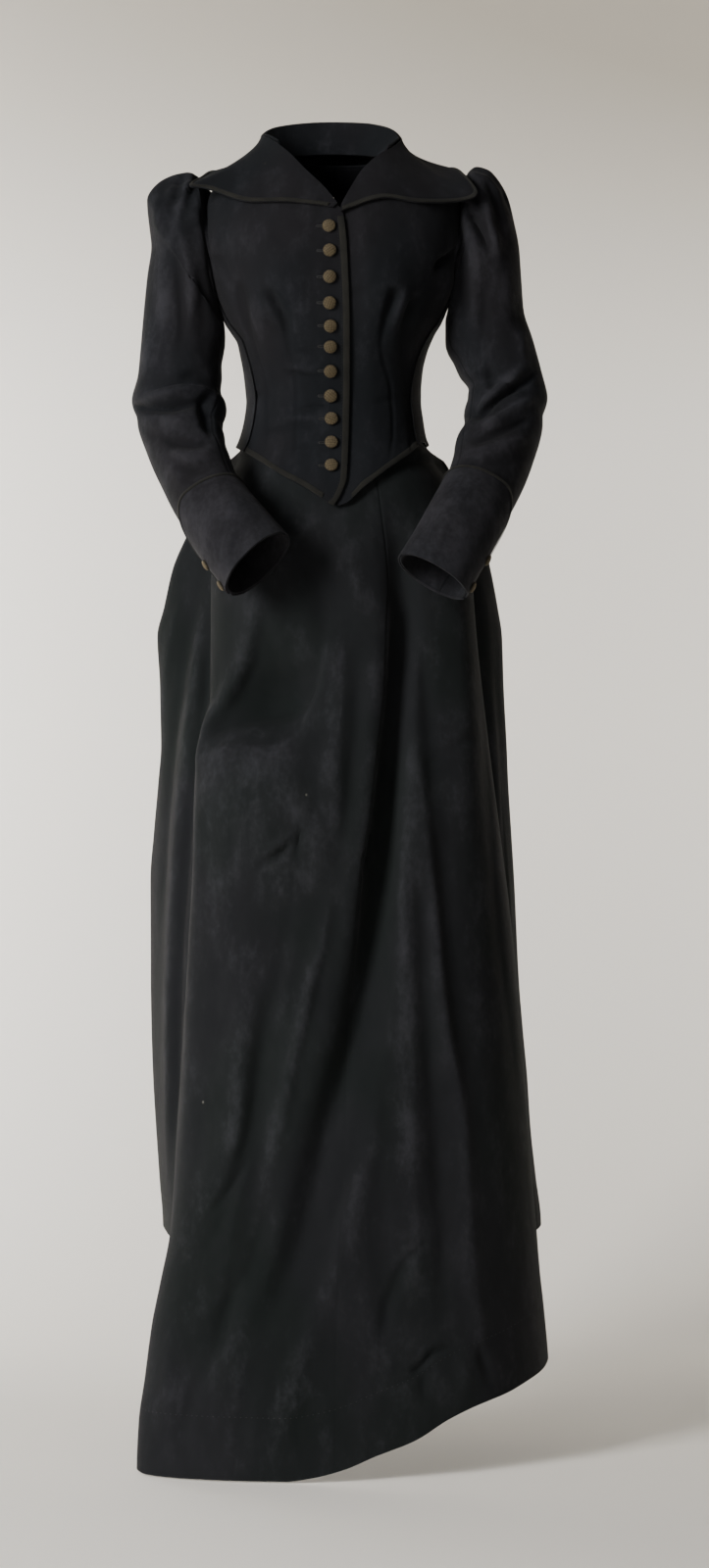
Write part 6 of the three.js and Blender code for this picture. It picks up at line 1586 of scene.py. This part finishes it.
def sew(key, cloth, thick, material=JACKET_WOOL, slot="jacket_wool"):
    """Makes a panel's wall and puts it in the place of the part's own."""
    panels[key] = cloth
    dress(wall(key + "_cloth", cloth, thick), material, slot, key)


# Jacket.
jacket = {
    "front_right": jacket_panel(-1, "front", lap_edge, front_outer, COLLAR_SEAM),
    "front_left": jacket_panel(1, "front", under_edge, front_outer, COLLAR_SEAM, lap_drop),
    "underarm_right": underarm_panel(-1),
    "underarm_left": underarm_panel(1),
    "side_back_right": jacket_panel(-1, "side_back", side_back_inner, side_back_outer, SIDE_BACK_TOP),
    "side_back_left": jacket_panel(1, "side_back", side_back_inner, side_back_outer, SIDE_BACK_TOP),
    "back_right": jacket_panel(-1, "back", back_inner, back_outer, COLLAR_SEAM),
    "back_left": jacket_panel(1, "back", back_inner, back_outer, COLLAR_SEAM),
}
for key, cloth in jacket.items():
    cloth.fold(JACKET_FOLDS, JACKET_DEPTH)
    crease_back(cloth)
    cloth.sink_seams(not key.startswith("front"), True, depth=0.3, reach=1.2)
    sew(key, cloth, JACKET_WALL)

for side_name, (table, side, folds) in SLEEVES.items():
    for part, turns in (("upper", UPPER_SLEEVE), ("under", UNDER_SLEEVE)):
        cloth = sleeve_piece(table, side, turns, folds, STEPS_ACROSS[part])
        sew(f"sleeve_{side_name}_{part}", cloth, SLEEVE_WALL)
    sew(f"cuff_{side_name}", cuff_cloth(table, side), SLEEVE_WALL)

sew("collar_fall", collar_cloth(), COLLAR_WALL)
sew("collar_stand", stand_cloth(), COLLAR_WALL)

# Skirt.
for key, cloth in (("apron_right", apron_piece(-1, STEPS_ACROSS["apron_right"])),
                   ("apron_left", apron_piece(1, STEPS_ACROSS["apron_left"])),
                   ("skirt_back_right", back_piece(0, HALVES_END[0], STEPS_ACROSS["skirt_back"])),
                   ("skirt_back_left", back_piece(HALVES_END[1], 1, STEPS_ACROSS["skirt_back"]))):
    sew(key, cloth, SKIRT_WALL, SKIRT_WOOL, "skirt_wool")
sew("waistband", band_cloth(), WAISTBAND_WALL, BAND_COTTON, "waistband_cotton")


# Braid.
def lay_braid(name, lines, normals, reach, thick=BRAID_THICK):
    dress(braid_piece(name + "_silk", lines, normals, reach, thick), BRAID_SILK, "braid", name)


def hem_lines(side_name):
    """Lines up from the jacket's lower edge, round one side of it from the front to the centre back."""
    lines, normals = [], []
    for name in ("front", "underarm", "side_back", "back"):
        cloth = panels[f"{name}_{side_name}"]
        skip = 9 if name == "front" else 0
        lines.append(cloth.points[:24].transpose(1, 0, 2)[skip:])
        normals.append(cloth.normals[:24].transpose(1, 0, 2)[skip:])
    return np.concatenate(lines), np.concatenate(normals)


front, fall = panels["front_right"], panels["collar_fall"]
front_rows = front.height[:, 0] < BRAID_TOP
lay_braid("braid_front", front.points[front_rows], front.normals[front_rows], FRONT_BRAID_REACH)
for side_name in ("right", "left"):
    lay_braid(f"braid_hem_{side_name}", *hem_lines(side_name), HEM_BRAID_REACH)
    cuff = panels[f"cuff_{side_name}"]
    lay_braid(f"braid_cuff_{side_name}", cuff.points[::-1].transpose(1, 0, 2), cuff.normals[::-1].transpose(1, 0, 2),
              CUFF_BRAID_REACH, CUFF_BRAID_THICK)
lay_braid("braid_collar", fall.points[4:-4], fall.normals[4:-4], COLLAR_BRAID_REACH)


# Buttons, on the seats of the part's own buttons.
def cad_points(name):
    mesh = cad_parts[name].data
    flat = np.zeros(len(mesh.vertices) * 3)
    mesh.vertices.foreach_get("co", flat)
    return flat.reshape(-1, 3) * 1000 + [0, 0, SHOULDER_HEIGHT]


def button_seat(name):
    """Middle of the seat of the part's own button, and its axis, which points to the front."""
    points = np.unique(cad_points(name).round(3), axis=0)
    middle = points.mean(0)
    spread = points - middle
    _, _, axes = np.linalg.svd(spread)
    axis = axes[2]
    if axis[1] > 0:
        axis = -axis
    rise = spread @ axis
    return middle + axis * rise.min(), axis


def raised_by_folds(seat, axis):
    u, v = picture_place(seat[None])
    return seat + axis * float(sum(f.rise(u, v) for f in JACKET_FOLDS)[0]) * JACKET_DEPTH


def lay_button(key, seat, axis, radius, height, twist):
    dress(button_piece(key + "_cord", seat, axis, radius, height, twist), BUTTON_CORD, "button_cord", key)


for number in range(1, 12):
    key = f"button_front_{number:02d}"
    seat, axis = button_seat(key)
    lay_button(key, raised_by_folds(seat, axis), axis, BUTTON_RADIUS, BUTTON_HEIGHT, 0.31 * number)
for side_name in ("right", "left"):
    for number in (1, 2):
        key = f"button_cuff_{side_name}_{number}"
        lay_button(key, *button_seat(key), CUFF_BUTTON_RADIUS, CUFF_BUTTON_HEIGHT, 0.9 * number)


# Stitches: worked buttonholes, the edges of the braid and the line that holds the hem facing.
def on_panel(cloth, place, height):
    """The point of a panel at a place across and a height, with its normal."""
    gap = (cloth.points[..., 0] - place) ** 2 + (cloth.points[..., 2] - height) ** 2
    row, column = np.unravel_index(np.argmin(gap), gap.shape)
    aim = cloth.normals[row, column]
    base = cloth.points[row, column]
    y = base[1] - (aim[0] * (place - base[0]) + aim[2] * (height - base[2])) / aim[1]
    return np.array([place, y, height]), aim


def buttonhole(height, middle):
    start, end, half = middle - HOLE_START, middle - HOLE_END, HOLE_HALF_WIDTH
    loop = [(start, half), (end + 1, half), (end, 0.0), (end + 1, -half), (start, -half)]
    line, normals = [], []
    for place, up in loop:
        spot, aim = on_panel(front, place, height + up)
        line.append(spot + aim * 0.3)
        normals.append(aim)
    return np.array(line), np.array(normals)


def stitch_line(cloth, reach, across_rows, chosen, distance, lift):
    """A line at a distance from a panel's edge: across its rows, or up its columns."""
    points = cloth.points if across_rows else cloth.points.transpose(1, 0, 2)
    aims = cloth.normals if across_rows else cloth.normals.transpose(1, 0, 2)
    line, normals = [], []
    for row, length in zip(chosen, reach):
        place = np.interp(distance, length, np.arange(len(length)))
        low = int(min(np.floor(place), len(length) - 2))
        aim = unit(mix(aims[row, low], aims[row, low + 1], place - low))
        line.append(mix(points[row, low], points[row, low + 1], place - low) + aim * lift)
        normals.append(aim)
    return np.array(line), np.array(normals)


def row_at(cloth, distance):
    """A line along a panel at a distance from its lower edge."""
    chosen = range(0, cloth.points.shape[1], 2)
    return stitch_line(cloth, arc_lengths(cloth.points, 0)[:, ::2].T, False, chosen, distance, 0.12)


def edge_row(cloth, distance, rows):
    """A line down a panel at a distance from its first edge."""
    chosen = np.arange(len(cloth.points))[rows]
    return stitch_line(cloth, arc_lengths(cloth.points[rows], 1), True, chosen, distance, 0.15)


holes = [buttonhole(height, place) for height, place in FRONT_BUTTONS]
hem_rows = [row_at(panels[k], APRON_FACING) for k in ("apron_right", "apron_left")]
hem_rows += [row_at(panels[k], BACK_FACING) for k in ("skirt_back_right", "skirt_back_left")]
braid_rows = [edge_row(front, FRONT_BRAID_STITCHES, front_rows),
              edge_row(fall, COLLAR_BRAID_STITCHES, np.arange(len(fall.points)) % 2 == 0)]
# Each kind of stitch: its lines, spacing, length, thread, turn from the line and slot.
for name, lines, spacing, length, thread, quarter, slot in (
        ("buttonhole_stitches", holes, 0.75, 2.2, 0.32, math.pi / 2, "jacket_wool"),
        ("hem_stitches", hem_rows, 7.0, 2.2, 0.3, 0.0, "skirt_wool"),
        ("braid_stitches", braid_rows, 4.0, 1.4, 0.22, 0.0, "braid")):
    dress(stitches(name, lines, spacing, length, thread, quarter), THREAD, slot)


# Studio: a curved sheet of paper behind the garment, soft lights and the picture's camera.
def backdrop():
    """A pale sheet that lies on the floor and rises behind in one curve."""
    near, depth, height, radius, half_width, steps = -4.6, 1.5, 3.2, 0.9, 4.0, 16
    line = [(near, 0.0), (depth - radius, 0.0)]
    for k in range(1, steps):
        turn = math.pi / 2 * k / steps
        line.append((depth - radius + radius * math.sin(turn), radius - radius * math.cos(turn)))
    line += [(depth, radius), (depth, height)]
    points = [(x, y, z - PAPER_BELOW) for x in (-half_width, half_width) for y, z in line]
    count = len(line)
    faces = [(k, count + k, count + k + 1, k + 1) for k in range(count - 1)]
    mesh = bpy.data.meshes.new("backdrop")
    mesh.from_pydata(points, [], faces)
    mesh.polygons.foreach_set("use_smooth", np.ones(len(mesh.polygons), bool))
    sheet = bpy.data.objects.new("backdrop", mesh)
    bpy.context.scene.collection.objects.link(sheet)
    sheet.data.materials.append(paper_look())
    return sheet


backdrop()

# Soft lights: name, place, what each points at, its width and height, power and colour.
LIGHTS = [
    ("key", (-3.3, -3.0, 0.9), (0, 0, -0.8), (1.3, 2.2), 262, (1.0, 0.985, 0.96)),
    ("fill", (2.2, -4.6, 0.4), (0, 0, -0.9), (2.0, 2.4), 4, (0.95, 0.97, 1.0)),
    ("top", (-0.8, -1.2, 2.6), (0, 0.2, -0.6), (1.4, 1.0), 6, (1.0, 0.99, 0.97)),
    ("paper light at left", (-1.7, 0.7, -0.7), (-1.35, 1.64, -0.75), (0.6, 2.4), 46, (1.0, 0.98, 0.95)),
    ("paper light at right", (1.7, 0.7, -0.8), (1.35, 1.64, -0.85), (0.6, 2.4), 26, (1.0, 0.97, 0.92)),
    ("back light", (1.6, 4.4, 1.1), (0, 0, -0.8), (3.0, 3.0), 40, (1.0, 0.99, 0.97)),
]
for name, place, aim, size, power, colour in LIGHTS:
    data = bpy.data.lights.new(name, "AREA")
    data.shape = "RECTANGLE"
    data.size, data.size_y = size
    data.energy = power
    data.color = colour
    light = bpy.data.objects.new(name, data)
    light.location = place
    light.rotation_euler = (Vector(aim) - Vector(place)).to_track_quat("-Z", "Y").to_euler()
    bpy.context.scene.collection.objects.link(light)

world = bpy.data.worlds.new("studio air")
bpy.context.scene.world = world
world.use_nodes = True
world.node_tree.nodes["Background"].inputs["Color"].default_value = (1.0, 0.97, 0.93, 1.0)
world.node_tree.nodes["Background"].inputs["Strength"].default_value = 0.12

camera_data = bpy.data.cameras.new("camera")
camera_data.sensor_fit = "VERTICAL"
camera_data.sensor_height = SENSOR_HEIGHT
camera_data.lens = FOCAL / PICTURE_HEIGHT * SENSOR_HEIGHT
camera = bpy.data.objects.new("camera", camera_data)
camera.location = (CAMERA[0] / 1000, CAMERA[1] / 1000, (CAMERA[2] - SHOULDER_HEIGHT) / 1000)
camera.rotation_euler = (math.radians(90 - TILT), 0, 0)
bpy.context.scene.collection.objects.link(camera)
bpy.context.scene.camera = camera


# Cloth sheets: each is measured along its own rows and columns; the piece that it hangs from is named here.
def cloth_area(cloth):
    a = cloth.points[:-1, :-1]
    b, c, d = cloth.points[:-1, 1:], cloth.points[1:, 1:], cloth.points[1:, :-1]
    first = np.linalg.norm(np.cross(b - a, c - a), axis=-1) / 2
    second = np.linalg.norm(np.cross(c - a, d - a), axis=-1) / 2
    return float((first + second).sum()) / 1e6


HELD = {
    "front_right": "back_right", "front_left": "back_left",
    "underarm_right": "front_right", "underarm_left": "front_left",
    "side_back_right": "back_right", "side_back_left": "back_left",
    "back_right": "front_right", "back_left": "front_left",
    "collar_fall": "collar_stand", "collar_stand": "back_right",
    "sleeve_right_upper": "front_right", "sleeve_right_under": "front_right",
    "sleeve_left_upper": "front_left", "sleeve_left_under": "front_left",
    "cuff_right": "sleeve_right_upper", "cuff_left": "sleeve_left_upper",
    "apron_right": "waistband", "apron_left": "waistband",
    "skirt_back_right": "waistband", "skirt_back_left": "waistband",
    "waistband": "skirt_back_right",
}
for key, rest in HELD.items():
    cloth = panels[key]
    width = float(arc_lengths(cloth.points, 1)[:, -1].max()) / 1000
    length = float(arc_lengths(cloth.points, 0)[-1].max()) / 1000
    area = round(cloth_area(cloth), 4)
